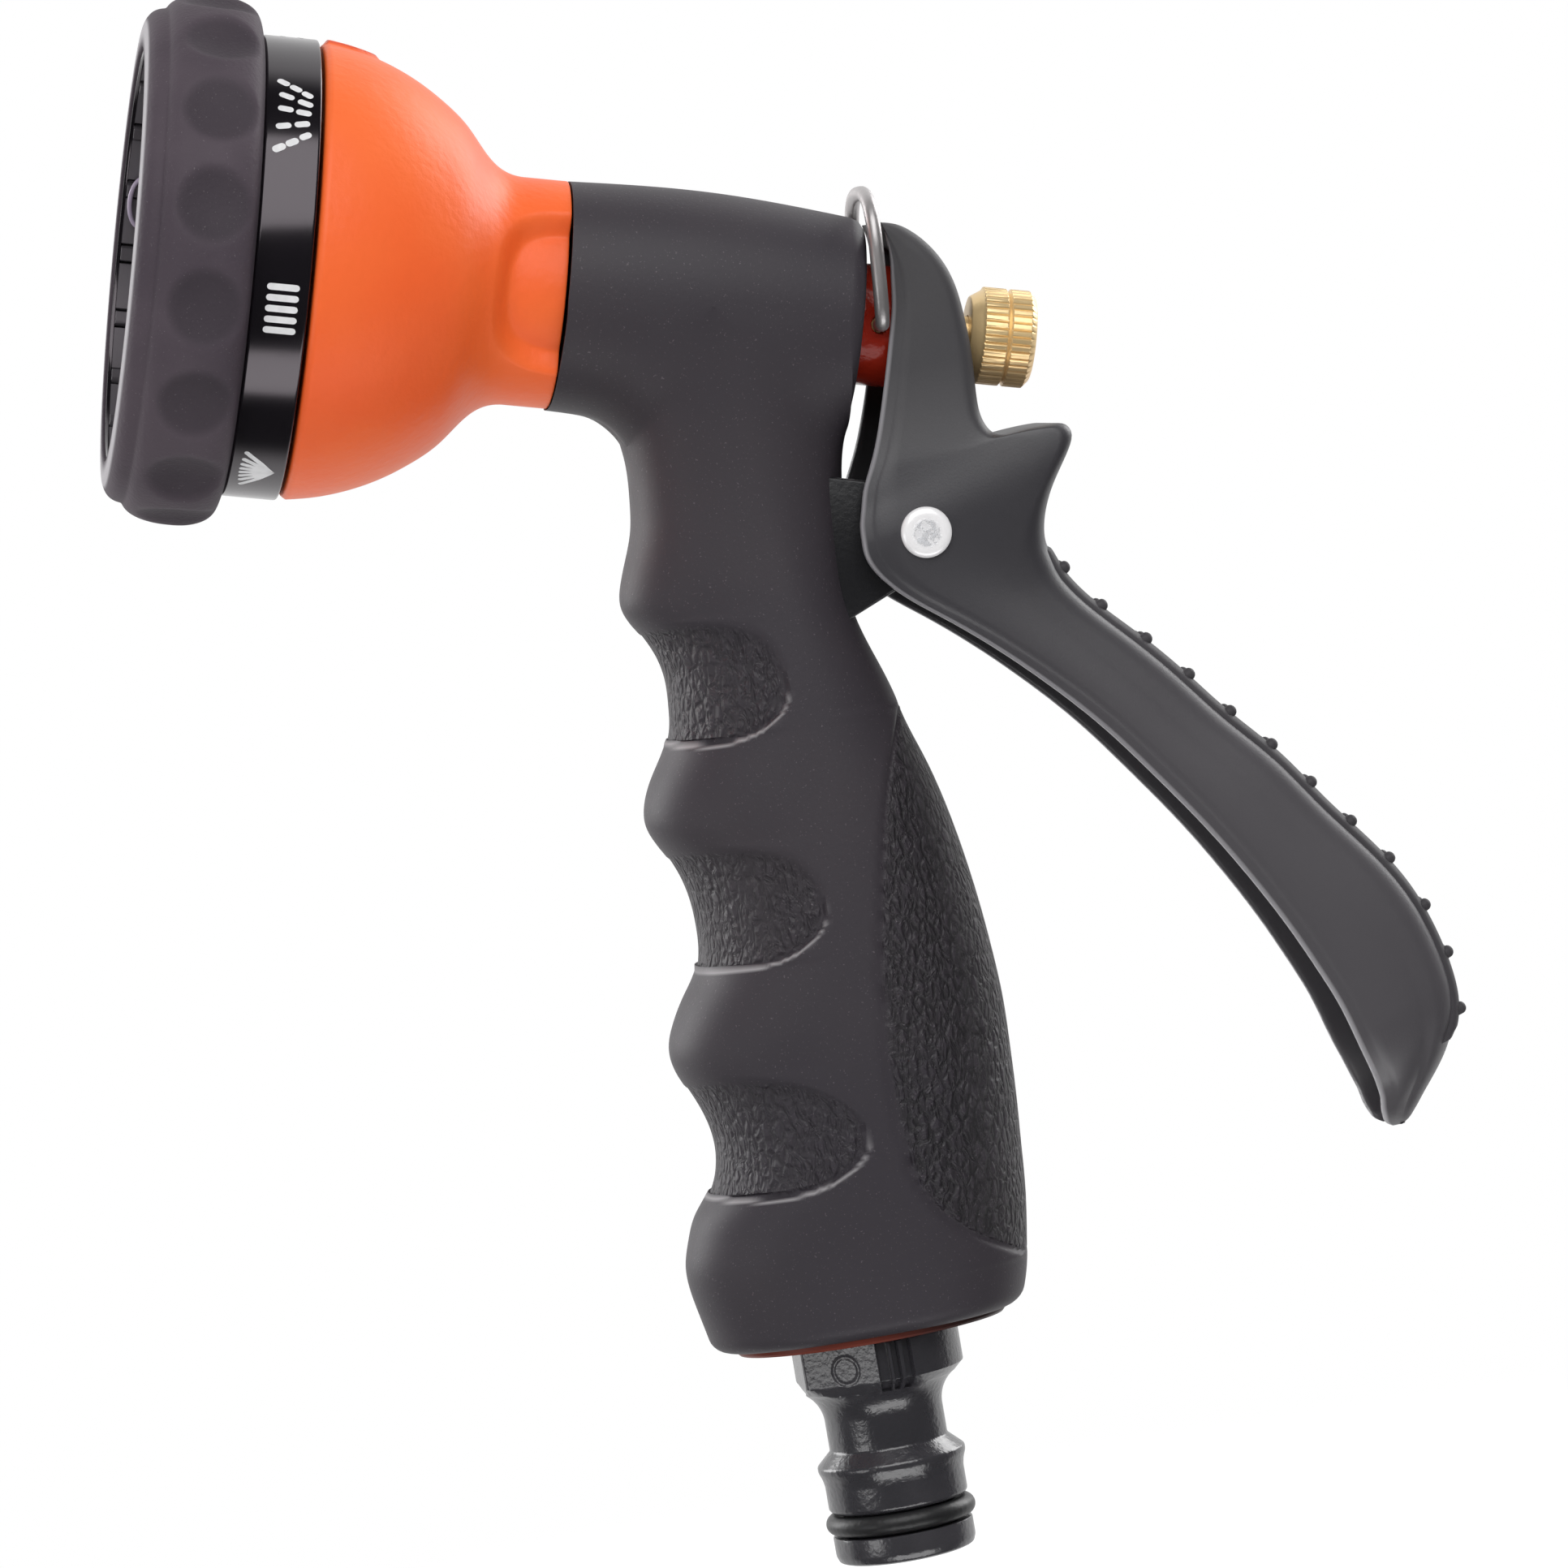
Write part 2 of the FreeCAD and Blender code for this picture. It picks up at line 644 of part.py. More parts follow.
# ---------------------------------------------------------------- lever
def lever_outline():
    return outline(("curve", head_back), ("curve", hook_tip), ("curve", arm_back), ("curve", arm_tip),
                   ("curve", arm_front), ("curve", nose_front), ("curve", head_front),
                   ("straight", [head_front[-1], head_back[0]]))


def lever_front_view(margin, head_margin):
    """Front view of the lever: wide along the arm, narrow at the head; extruded along X."""
    wide = lever_half_width - margin
    narrow = lever_head_half_width - head_margin
    right = [(wide, -85.0), (wide, lever_narrow_from), (narrow, lever_narrow_to), (narrow, 45.0)]
    loop = [FreeCAD.Vector(-30, y, z) for y, z in right + [(-y, z) for y, z in reversed(right)]]
    return Part.Face(Part.makePolygon(loop + [loop[0]])).extrude(vector(110, 0))


def set_on_pivot(shape):
    shape = shape.copy()
    shape.translate(vector(pivot_x, pivot_z))
    return shape


def lever():
    body = slab(lever_outline(), lever_half_width).common(lever_front_view(0, 0))
    head_inner = offset_line(head_back[:7], lever_wall)
    arm_inner = offset_line(arm_back[2:], lever_arm_wall)
    above, below, ahead = 38.0, -84.0, -26.4
    room = outline(("straight", [(ahead, above), (head_inner[0][0], above), head_inner[0]]),
                   ("curve", head_inner),
                   ("straight", [head_inner[-1], arm_inner[0]]),
                   ("curve", arm_inner),
                   ("straight", [arm_inner[-1], (28.6, below), (ahead, below), (ahead, above)]))
    hollow = slab(room, lever_half_width).common(lever_front_view(lever_wall, lever_cheek_wall))
    body = set_on_pivot(body.cut(hollow))
    start, end = boss_end, boss_end + 14
    low, high = slot_half_width - slot_low, slot_high - slot_half_width
    slot = Part.makeBox(end - start, 2 * slot_half_width, high - low, vector(start, low, -slot_half_width))
    slot = slot.fuse(rod_x(slot_half_width, start, end, low)).fuse(rod_x(slot_half_width, start, end, high))
    body = body.cut(set_on_barrel(slot))
    body = body.cut(rod_y(rivet_radius + running_gap, -20, 20, pivot_x, pivot_z))
    return body.cut(pad_form(seat_gap))


def pad_form(margin):
    """Strip let into the lever's back."""
    outer = arm_back[3:9]
    bed = offset_line(outer, pad_depth + margin)
    proud = offset_line(outer, -pad_proud if margin == 0 else -3 * pad_proud)
    face = outline(("curve", proud), ("straight", [proud[-1], bed[-1]]), ("curve", list(reversed(bed))),
                   ("straight", [bed[0], proud[0]]))
    return set_on_pivot(slab(face, lever_half_width - pad_side_margin + margin))


def lever_pad():
    return pad_form(0)


def pivot_rivet():
    reach = lever_half_width + moving_gap
    rivet = rod_y(rivet_radius, -reach, reach, pivot_x, pivot_z)
    for side in (-1, 1):
        inner, outer = side * reach, side * (reach + rivet_head_height)
        rivet = rivet.fuse(rod_y(rivet_head_radius, min(inner, outer), max(inner, outer), pivot_x, pivot_z))
    return rivet.removeSplitter()


# ---------------------------------------------------------------- nut and clip
def flow_nut():
    bore = stem_radius + running_gap
    half = nut_groove_depth
    cone, groove = nut_front + nut_cone_length, nut_front + nut_groove_at
    return turned_on_x(("straight", [
        (nut_front, bore), (nut_front, nut_front_radius), (cone, nut_radius - 0.4), (cone + 0.3, nut_radius),
        (groove - half, nut_radius), (groove, nut_radius - half), (groove + half, nut_radius),
        (nut_back - 0.7, nut_radius),
        (nut_back, nut_radius - 0.9), (nut_back, bore), (nut_front, bore)]))


def lock_clip():
    """Wire bail: two feet turned into the boss, two legs and a squarish crown."""
    foot, side, top = clip_foot_end, clip_half_width, clip_reach
    small, large = clip_foot_bend, clip_crown_bend
    cut = 1 - math.sqrt(0.5)
    path = [Part.makeLine(vector(0, 0, -foot), vector(0, 0, -side + small)),
            Part.Arc(vector(0, 0, -side + small), vector(0, small * cut, -side + small * cut),
                     vector(0, small, -side)).toShape(),
            Part.makeLine(vector(0, small, -side), vector(0, top - large, -side)),
            Part.Arc(vector(0, top - large, -side), vector(0, top - large * cut, -side + large * cut),
                     vector(0, top, -side + large)).toShape(),
            Part.makeLine(vector(0, top, -side + large), vector(0, top, side - large)),
            Part.Arc(vector(0, top, side - large), vector(0, top - large * cut, side - large * cut),
                     vector(0, top - large, side)).toShape(),
            Part.makeLine(vector(0, top - large, side), vector(0, small, side)),
            Part.Arc(vector(0, small, side), vector(0, small * cut, side - small * cut),
                     vector(0, 0, side - small)).toShape(),
            Part.makeLine(vector(0, 0, side - small), vector(0, 0, foot))]
    section = Part.Wire([Part.makeCircle(clip_wire / 2, vector(0, 0, -foot), vector(0, 0, 1))])
    clip = Part.Wire(path).makePipeShell([section], True, False)
    clip.rotate(vector(0, 0), vector(0, 0, 1), clip_lean)
    clip.translate(vector(clip_x, 0))
    return clip


# ---------------------------------------------------------------- hose tail
def hose_adaptor():
    edge = tail_tip_edge
    body = turned_on_z(
        ("straight", [(tail_bore, 0), (tail_tip_radius - edge, 0)]),
        ("arc", [(tail_tip_radius - edge, 0), (tail_tip_radius - edge * 0.29, edge * 0.29),
                 (tail_tip_radius, edge)]),
        ("straight", [(tail_tip_radius, edge), (tail_tip_radius, tail_groove_low),
                      (tail_groove_radius, tail_groove_low), (tail_groove_radius, tail_groove_high),
                      (tail_body_radius - 0.4, tail_groove_high), (tail_body_radius, tail_groove_high + 0.4),
                      (tail_body_radius, tail_ridge_z - 2.0)]),
        ("arc", [(tail_body_radius, tail_ridge_z - 2.0), (tail_body_radius + 0.15, tail_ridge_z - 1.2),
                   (tail_ridge_radius, tail_ridge_z - 0.3)]),
        ("straight", [(tail_ridge_radius, tail_ridge_z - 0.3), (tail_ridge_radius, tail_ridge_z + 0.3),
                      (tail_neck_radius, tail_neck_low), (tail_neck_radius, tail_neck_high)]),
        ("arc", [(tail_neck_radius, tail_neck_high), (tail_neck_radius + 0.5, tail_neck_high + 1.9),
                   (collar_radius - 0.9, collar_low - 0.8)]),
        ("straight", [(collar_radius - 0.9, collar_low - 0.8), (collar_radius, collar_low + 0.4),
                      (collar_radius, collar_top), (spigot_radius, collar_top), (spigot_radius, spigot_top),
                      (tail_bore, spigot_top), (tail_bore, 0)]))
    for turn in collar_flat_turns:
        trim = Part.makeBox(4, 30, collar_top - collar_low + 1, vector(collar_flat, collar_low - 0.8, -15))
        trim.rotate(vector(0, 0), vector(0, 1), turn)
        body = body.cut(trim)
    for turn in collar_groove_turns:
        groove = Part.makeBox(3, collar_groove_width, collar_top - collar_low + 1,
                              vector(collar_radius - collar_groove_depth, collar_low - 0.8,
                                     -collar_groove_width / 2))
        groove.rotate(vector(0, 0), vector(0, 1), turn)
        body = body.cut(groove)
    return body


def adaptor_o_ring():
    """Seal ring with an eight-sided section, near enough round for its size."""
    radius = tail_ring_section / 2
    middle = (tail_groove_low + tail_groove_high) / 2
    centre = tail_groove_radius + seat_gap + radius
    corners = [(centre + radius * math.cos(math.radians(a)), middle + radius * math.sin(math.radians(a)))
               for a in range(0, 361, 45)]
    return turned_on_z(("straight", corners))


def adaptor_washer():
    return rod_z(spigot_radius, spigot_top + seat_gap, spigot_top + seat_gap + tail_washer_thickness).cut(
        rod_z(riser_radius, spigot_top - 1, spigot_top + 5))


drawn_on_barrel = [stem_gland, stem_o_ring, valve_seat, plug_seal, valve_plug, valve_stem, valve_spring,
                   port_seal, port_spring, detent_ball, detent_spring, dial_shell, port_plate, face_gasket,
                   spray_face, dial_washer, dial_screw, dial_grip_ring, flow_nut, lock_clip]
drawn_in_place = [body_casting, grip_sleeve, lever, lever_pad, pivot_rivet, hose_adaptor, adaptor_o_ring,
                  adaptor_washer]

os.makedirs("parts", exist_ok=True)
for make in drawn_on_barrel:
    set_on_barrel(make()).exportStep(f"parts/{make.__name__}.step")
for make in drawn_in_place:
    make().exportStep(f"parts/{make.__name__}.step")
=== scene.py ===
import json
import math
import bpy
import bmesh
import numpy as np
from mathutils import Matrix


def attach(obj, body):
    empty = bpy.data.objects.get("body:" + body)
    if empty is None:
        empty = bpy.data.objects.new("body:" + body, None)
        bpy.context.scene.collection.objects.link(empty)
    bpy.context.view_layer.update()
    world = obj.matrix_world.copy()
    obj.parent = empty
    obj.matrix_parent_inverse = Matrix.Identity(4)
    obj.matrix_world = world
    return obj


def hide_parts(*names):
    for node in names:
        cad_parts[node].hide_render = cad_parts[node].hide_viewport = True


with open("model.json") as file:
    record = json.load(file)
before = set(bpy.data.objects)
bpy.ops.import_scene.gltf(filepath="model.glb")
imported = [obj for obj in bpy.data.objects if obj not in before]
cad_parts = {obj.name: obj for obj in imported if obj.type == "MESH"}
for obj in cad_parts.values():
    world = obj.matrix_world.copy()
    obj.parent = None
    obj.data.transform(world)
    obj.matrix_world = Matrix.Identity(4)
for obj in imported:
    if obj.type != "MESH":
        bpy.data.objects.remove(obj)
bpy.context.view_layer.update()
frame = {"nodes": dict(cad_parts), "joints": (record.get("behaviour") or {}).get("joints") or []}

# ---------------------------------------------------------------- studio
# A pale floor some way under the hanging nozzle, a white surround and soft lamps: one broad lamp high
# in front, one low in front, a small one on the left and one behind on each side. The camera looks across
# the nozzle from its side.
scene = bpy.context.scene
scene.view_settings.view_transform = "Standard"
look_at = np.array([0.0008, 0.0, 0.0884])
camera_turn, camera_rise, camera_distance = math.radians(-6.5), math.radians(3.5), 1.0
picture_width = 0.1768                # what the picture spans at the nozzle
picture_lean = math.radians(9.7)      # the nozzle leans in the picture, tail to the right


def aim(obj, place, target, upward):
    """Turns obj's -Z axis to the target and its Y axis as near to upward as that allows."""
    ahead = np.array(target, float) - place
    ahead /= np.linalg.norm(ahead)
    right = np.cross(ahead, upward)
    right /= np.linalg.norm(right)
    above = np.cross(right, ahead)
    obj.matrix_world = np.vstack([np.column_stack([right, above, -ahead, place]), [0, 0, 0, 1]]).T.tolist()


camera = bpy.data.objects.new("camera", bpy.data.cameras.new("camera"))
scene.collection.objects.link(camera)
scene.camera = camera
camera.data.lens = 36.0 / picture_width * camera_distance
away = np.array([math.sin(camera_turn) * math.cos(camera_rise), -math.cos(camera_turn) * math.cos(camera_rise),
                 math.sin(camera_rise)])
aim(camera, look_at + away * camera_distance, look_at, [math.sin(picture_lean), 0.0, math.cos(picture_lean)])

# Lamps: name, place, width, height, strength in watts.
for name, place, width, height, watts in [
        ("lamp_high_front", (0.02, -0.80, 0.86), 1.10, 0.95, 8.7),
        ("lamp_low_front", (0.05, -0.55, -0.62), 1.00, 0.40, 3.4),
        ("lamp_left", (-0.85, -0.55, 0.02), 0.42, 0.30, 1.0),
        ("lamp_rear_right", (0.80, 0.45, 0.50), 0.60, 0.60, 5.0),
        ("lamp_rear_left", (-0.75, 0.50, 0.35), 0.50, 0.60, 4.0)]:
    lamp = bpy.data.objects.new(name, bpy.data.lights.new(name, "AREA"))
    lamp.data.shape, lamp.data.size, lamp.data.size_y, lamp.data.energy = "RECTANGLE", width, height, watts
    scene.collection.objects.link(lamp)
    aim(lamp, np.array(place), look_at, [0.0, 0.0, 1.0])


class Value:
    """A number or colour on a node's socket; Python's operators add the Math nodes that work it out."""

    def __init__(self, finish, socket):
        self.finish, self.socket = finish, socket

    def maths(self, operation, first, second=0.0):
        return self.finish.node("Math", {"operation": operation}, {0: first, 1: second})

    def __add__(self, other): return self.maths("ADD", self, other)
    def __radd__(self, other): return self.maths("ADD", other, self)
    def __sub__(self, other): return self.maths("SUBTRACT", self, other)
    def __rsub__(self, other): return self.maths("SUBTRACT", other, self)
    def __mul__(self, other): return self.maths("MULTIPLY", self, other)
    def __rmul__(self, other): return self.maths("MULTIPLY", other, self)
    def __pow__(self, other): return self.maths("POWER", self, other)

    def step(self, low, high, to_low=0.0, to_high=1.0):
        """Goes smoothly from to_low to to_high while the number goes from low to high."""
        return self.finish.node("MapRange", {"interpolation_type": "SMOOTHSTEP"},
                                {0: self, 1: low, 2: high, 3: to_low, 4: to_high})


class Finish:
    """A material's nodes. node() adds one: its type, its settings, then the values or links of its sockets."""

    def __init__(self, name, sockets=(), owner=None):
        self.owner = owner or bpy.data.materials.new(name)
        self.owner.use_nodes = True
        self.tree = self.owner.node_tree
        self.shader = self.tree.nodes.get("Principled BSDF") or self.tree.nodes.get("Background")
        self.feed(dict(sockets))

    def join(self, value, socket):
        if isinstance(value, Value):
            self.tree.links.new(value.socket, socket)
        elif hasattr(socket.default_value, "__len__") and len(value) == 3 and len(socket.default_value) == 4:
            socket.default_value = (*value, 1.0)
        else:
            socket.default_value = value

    def feed(self, sockets):
        for name, value in sockets.items():
            self.join(value, self.shader.inputs[name])

    def node(self, kind, settings=(), sockets=(), output=0):
        made = self.tree.nodes.new("ShaderNode" + kind)
        for key, value in dict(settings).items():
            setattr(made, key, value)
        for key, value in dict(sockets).items():
            self.join(value, made.inputs[key])
        return Value(self, made.outputs[output])

    def blend(self, mask, first, second):
        """Colour that goes from first to second as mask goes from 0 to 1."""
        return self.node("Mix", {"data_type": "RGBA"}, {0: mask, 6: first, 7: second}, 2)

    def place(self, scale=(1, 1, 1), move=(0, 0, 0)):
        """The piece's own coordinates, scaled and moved."""
        return self.node("Mapping", (), {0: self.node("TexCoord", output=3), 1: move, 3: scale})

    def noise(self, scale, detail=2.0, roughness=0.5, where=None, distortion=0.0):
        return self.node("TexNoise", (), {"Vector": where or self.place(), "Scale": scale, "Detail": detail,
                                          "Roughness": roughness, "Distortion": distortion})

    def bump(self, height, distance):
        self.feed({"Normal": self.node("Bump", (), {"Height": height, "Distance": distance, "Strength": 1.0})})

    def tint(self, mask, first, second, **sockets):
        """Feeds the base colour with a blend, and the other sockets that are named."""
        self.feed({"Base Color": self.blend(mask, first, second), **sockets})

    def axis(self, k, **placing):
        """The piece's own x, y or z (k from 0 to 2), in metres, where place() puts it."""
        return self.node("SeparateXYZ", (), {0: self.place(**placing)}, k)

    def mark(self):
        """The number that make_piece() keeps at each point: grain and marks, and painted highlight and shade."""
        return self.node("Attribute", {"attribute_name": "mark_and_painted_light"}, output=2)


# Surround: white where the camera looks, bright behind the nozzle and dark in front of it for reflections.
scene.world = bpy.data.worlds.new("surround")
surround = Finish("surround", owner=scene.world)
facing = surround.node("SeparateXYZ", (), {0: surround.node("TexCoord", output=0)}, 1)
in_gloss = surround.node("LightPath", output=3)
from_camera = surround.node("LightPath", output=0)
glossy_level = facing.step(0.15, 0.45, 0.03, 0.95)
soft_level = 0.42
surround.feed({"Color": (1.0, 1.0, 1.0),
               "Strength": from_camera + (1 - from_camera) * (in_gloss * glossy_level + (1 - in_gloss) * soft_level)})


def circle(count):
    """count angles evenly round a full turn, from 0."""
    return np.linspace(0, 2 * math.pi, count + 1)[:-1]


# Floor: a pale round sheet that fades into the surround; the camera sees it white except in shadow.
floor_radius, floor_height, floor_glow = 0.55, -0.06, 0.62
fade_from, fade_to = 0.28, 0.5         # distances from the middle over which the floor clears
rings, turns = np.meshgrid(np.linspace(0, floor_radius, 12), circle(96), indexing="ij")
floor_mesh = bpy.data.meshes.new("floor")
floor_points = np.stack([rings * np.cos(turns), rings * np.sin(turns), np.full_like(rings, floor_height)], -1)
number = np.arange(rings.size).reshape(rings.shape)
after = np.roll(number, -1, 1)
floor_mesh.from_pydata(floor_points.reshape(-1, 3).tolist(), [],
                       np.stack([number[:-1], number[1:], after[1:], after[:-1]], -1).reshape(-1, 4).tolist())
floor = bpy.data.objects.new("floor", floor_mesh)
scene.collection.objects.link(floor)
pale = Finish("pale_floor", {"Base Color": (0.8, 0.8, 0.8), "Roughness": 0.9, "Specular IOR Level": 0.1})
lit = pale.node("Emission", (), {"Color": (1.0, 1.0, 1.0), "Strength": floor_glow})
seen = pale.node("LightPath", output=0)
shown = pale.node("MixShader", (), {0: seen, 1: Value(pale, pale.shader.outputs[0]), 2:
                  pale.node("AddShader", (), {0: Value(pale, pale.shader.outputs[0]), 1: lit})})
distance = pale.node("VectorMath", {"operation": "LENGTH"}, {0: pale.place()}, 1)
clear = pale.node("BsdfTransparent")
in_reflection = pale.node("LightPath", output=3)
hidden = distance.step(fade_from, fade_to) * (1 - in_reflection) + in_reflection
pale.tree.links.new(pale.node("MixShader", (), {0: hidden, 1: shown, 2: clear}).socket,
                    pale.tree.nodes["Material Output"].inputs["Surface"])
floor_mesh.materials.append(pale.owner)

# ---------------------------------------------------------------- rubber sleeve
# Soft charcoal rubber moulded over the barrel and the handle. Three finger hollows wrap round the front,
# each sunk behind a crisp lower ledge, and a leather-grained palm panel lies behind a fine groove.
dial_joint = next(joint for joint in frame["joints"] if joint["name"] == "dial_turn")
barrel_start = np.array(dial_joint["pos_m"]) * 1000.0        # where the sleeve starts, on the barrel's axis
barrel_back = -np.array(dial_joint["axis"]) / np.linalg.norm(dial_joint["axis"])
barrel_up = np.cross(barrel_back, [0.0, 1.0, 0.0])


def on_barrel(along, radius, turn=0.0):
    """Point (mm) at a distance along the barrel, at a radius, turned from straight up towards the near side."""
    along, radius, turn = np.broadcast_arrays(*(np.asarray(part, float)[..., None] for part in (along, radius, turn)))
    near = np.array([0.0, -1.0, 0.0])
    return barrel_start + along * barrel_back + radius * (np.cos(turn) * barrel_up + np.sin(turn) * near)


def smooth_line(knots, values, at):
    """Natural cubic line through values at rising knots: between two knots it is the straight line plus
    m(a^3 - ah^2)/6h from each end, where the bends m solve one three-term equation per inner knot."""
    knots, values, at = (np.asarray(part, float) for part in (knots, values, at))
    gap = np.diff(knots)
    system, right = np.eye(len(knots)), np.zeros_like(values)
    for k in range(1, len(knots) - 1):
        system[k, k - 1:k + 2] = gap[k - 1], 2 * (gap[k - 1] + gap[k]), gap[k]
        right[k] = 6 * ((values[k + 1] - values[k]) / gap[k] - (values[k] - values[k - 1]) / gap[k - 1])
    bend = np.linalg.solve(system, right)
    k = np.clip(np.searchsorted(knots, at, side="right") - 1, 0, len(gap) - 1)
    wide = (...,) + (None,) * (values.ndim - 1)
    low, high, width = (at - knots[k])[wide], (knots[k + 1] - at)[wide], gap[k][wide]
    return ((bend[k] * high ** 3 + bend[k + 1] * low ** 3) / (6 * width)
            + (values[k] / width - bend[k] * width / 6) * high
            + (values[k + 1] / width - bend[k + 1] * width / 6) * low)


def trace(points, count):
    """count points on the cubic line through points, even along its length."""
    points = np.asarray(points, float)
    knots = np.r_[0.0, np.cumsum(np.linalg.norm(np.diff(points, axis=0), axis=1))]
    return smooth_line(knots, points, np.linspace(0, 1, count) * knots[-1])


def fade(value, low, high):
    """0 at low, 1 at high and 3t^2 - 2t^3 between."""
    part = np.clip((value - low) / (high - low), 0, 1)
    return part * part * (3 - 2 * part)


def depth_inside(x, z, border):
    """Distance from (x, z) to the closed border line, positive inside it: the least distance to its sides,
    with the sign from how often a ray towards +x crosses them."""
    nearest, inside = np.full(np.shape(x), np.inf), np.zeros(np.shape(x), bool)
    for (x0, z0), (x1, z1) in zip(border, np.roll(border, -1, axis=0)):
        run, rise = x1 - x0, z1 - z0
        part = np.clip(((x - x0) * run + (z - z0) * rise) / (run * run + rise * rise + 1e-12), 0, 1)
        nearest = np.minimum(nearest, np.hypot(x - x0 - part * run, z - z0 - part * rise))
        inside ^= ((z0 > z) != (z1 > z)) & (x < x0 + (z - z0) * run / (rise if rise else 1e-12))
    return np.where(inside, nearest, -nearest)


def make_piece(name, grids, finish, body, stands_for=(), sharp=32.0, closed=False, marks=None):
    """Object from grids of points in millimetres: four-sided faces between neighbours, with the columns joined
    round if closed, then meeting points merged and faces turned outwards. marks is a number for each point."""
    points, faces, values, start = [], [], [], 0
    for place, grid in enumerate(grids):
        number = start + np.arange(grid[..., 0].size).reshape(grid.shape[:2])
        if closed:
            number = np.column_stack([number, number[:, 0]])
        faces.append(np.stack([number[:-1, :-1], number[1:, :-1], number[1:, 1:], number[:-1, 1:]], -1).reshape(-1, 4))
        points.append(grid.reshape(-1, 3) * 0.001)
        values.append(np.zeros(grid[..., 0].size) if marks is None else marks[place].ravel())
        start += grid[..., 0].size
    mesh = bpy.data.meshes.new(name)
    mesh.from_pydata(np.vstack(points).tolist(), [], np.vstack(faces).tolist())
    if marks is not None:
        mesh.attributes.new("mark_and_painted_light", "FLOAT", "POINT").data.foreach_set("value", np.hstack(values))
    work = bmesh.new()
    work.from_mesh(mesh)
    bmesh.ops.remove_doubles(work, verts=work.verts, dist=3e-6)
    bmesh.ops.dissolve_degenerate(work, edges=work.edges, dist=1e-7)
    bmesh.ops.recalc_face_normals(work, faces=work.faces)
    work.to_mesh(mesh)
    work.free()
    mesh.shade_smooth()
    mesh.set_sharp_from_angle(angle=math.radians(sharp))
    mesh.materials.append(finish.owner)
    piece = bpy.data.objects.new(name, mesh)
    scene.collection.objects.link(piece)
    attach(piece, body)
    if stands_for:
        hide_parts(*stands_for)
    return piece


# Outlines in the middle plane, as (x, z) in millimetres from the hose tail's end.
sleeve_front = [(-11.1, 130.0), (-10.7, 127.1), (-10.8, 124.4), (-11.1, 121.6), (-11.6, 119.0), (-12.6, 116.3),
                (-13.6, 113.7), (-14.0, 111.0), (-12.6, 107.9), (-11.2, 105.0), (-10.6, 102.1), (-10.7, 99.3),
                (-11.1, 96.6), (-12.3, 94.0), (-13.9, 91.5), (-15.1, 88.9), (-15.35, 86.2), (-14.0, 83.1),
                (-12.7, 80.2), (-12.0, 77.3), (-11.8, 74.4), (-11.95, 71.7), (-12.8, 69.0), (-14.5, 66.5),
                (-16.0, 64.0), (-17.0, 61.4), (-16.8, 58.6), (-15.5, 55.5), (-14.4, 52.6), (-13.9, 49.7),
                (-14.2, 47.0), (-15.4, 44.4), (-17.3, 42.0), (-18.5, 39.4), (-19.3, 36.7), (-19.3, 33.9),
                (-18.8, 31.1), (-18.2, 28.2), (-17.8, 26.2)]
sleeve_back = [(15.3, 129.2), (13.9, 125.7), (13.0, 121.7), (12.1, 114.0), (11.6, 107.1), (13.0, 101.7), (14.6, 96.8),
               (15.4, 93.6), (16.9, 89.0), (18.45, 83.2), (19.55, 77.4), (20.35, 71.7), (20.9, 66.0), (21.2, 60.4),
               (21.1, 55.0), (20.85, 49.0), (20.5, 43.8), (20.1, 38.4), (19.5, 34.0), (19.0, 31.0), (18.4, 28.6),
               (17.5, 26.2)]
crotch = [(-0.3, -13.0), (2.3, -13.1), (5.1, -13.4), (7.0, -14.1), (8.2, -15.2), (9.1, -16.6), (9.7, -17.9)]
ridge = [(142.7, 0.5), (125.0, 1.5), (104.0, 3.2), (85.0, 3.9), (60.0, 3.8), (45.0, 3.6), (26.2, 2.5)]
half_width = [(142.7, 13.05), (136.0, 12.3), (122.0, 11.7), (104.0, 12.6), (82.0, 14.2), (60.0, 15.1), (40.0, 14.6),
              (26.2, 12.9)]
barrel_radius = [(0.0, 12.8), (16.0, 13.1), (32.4, 11.75)]
barrel_end = 31.9                     # last rib before the rounded rear end
junction, axis_level = 16.14, 142.7   # where the handle's middle line meets the barrel's axis: along it, height
sleeve_bottom, sleeve_rim = 26.2, 1.6
finger_hollows = [
    [(-12.0, 108.6), (-4.8, 108.0), (0.2, 105.2), (1.6, 100.4), (1.1, 97.8), (-1.3, 95.8), (-6.2, 94.5), (-11.7, 95.0)],
    [(-13.5, 83.3), (-6.3, 82.8), (-0.6, 80.2), (1.4, 76.0), (1.1, 73.2), (-1.4, 70.9), (-6.2, 69.4), (-12.2, 69.4)],
    [(-15.8, 57.5), (-7.9, 57.0), (-1.4, 54.2), (1.6, 50.4), (1.6, 47.6), (-1.2, 45.0), (-7.4, 43.4), (-15.3, 43.9)]]
palm_border = [(14.9, 95.4), (12.7, 91.2), (10.5, 85.5), (8.4, 77.1), (6.8, 69.0), (5.9, 62.1), (5.5, 55.0),
               (5.5, 50.5), (6.5, 42.8), (9.2, 38.3), (12.2, 35.6), (18.8, 31.8)]
hollow_depth, panel_depth, groove_depth = 0.85, 0.28, 0.3
hollow_grain = 0.42                   # how strong the hollows' grain is beside the palm panel's


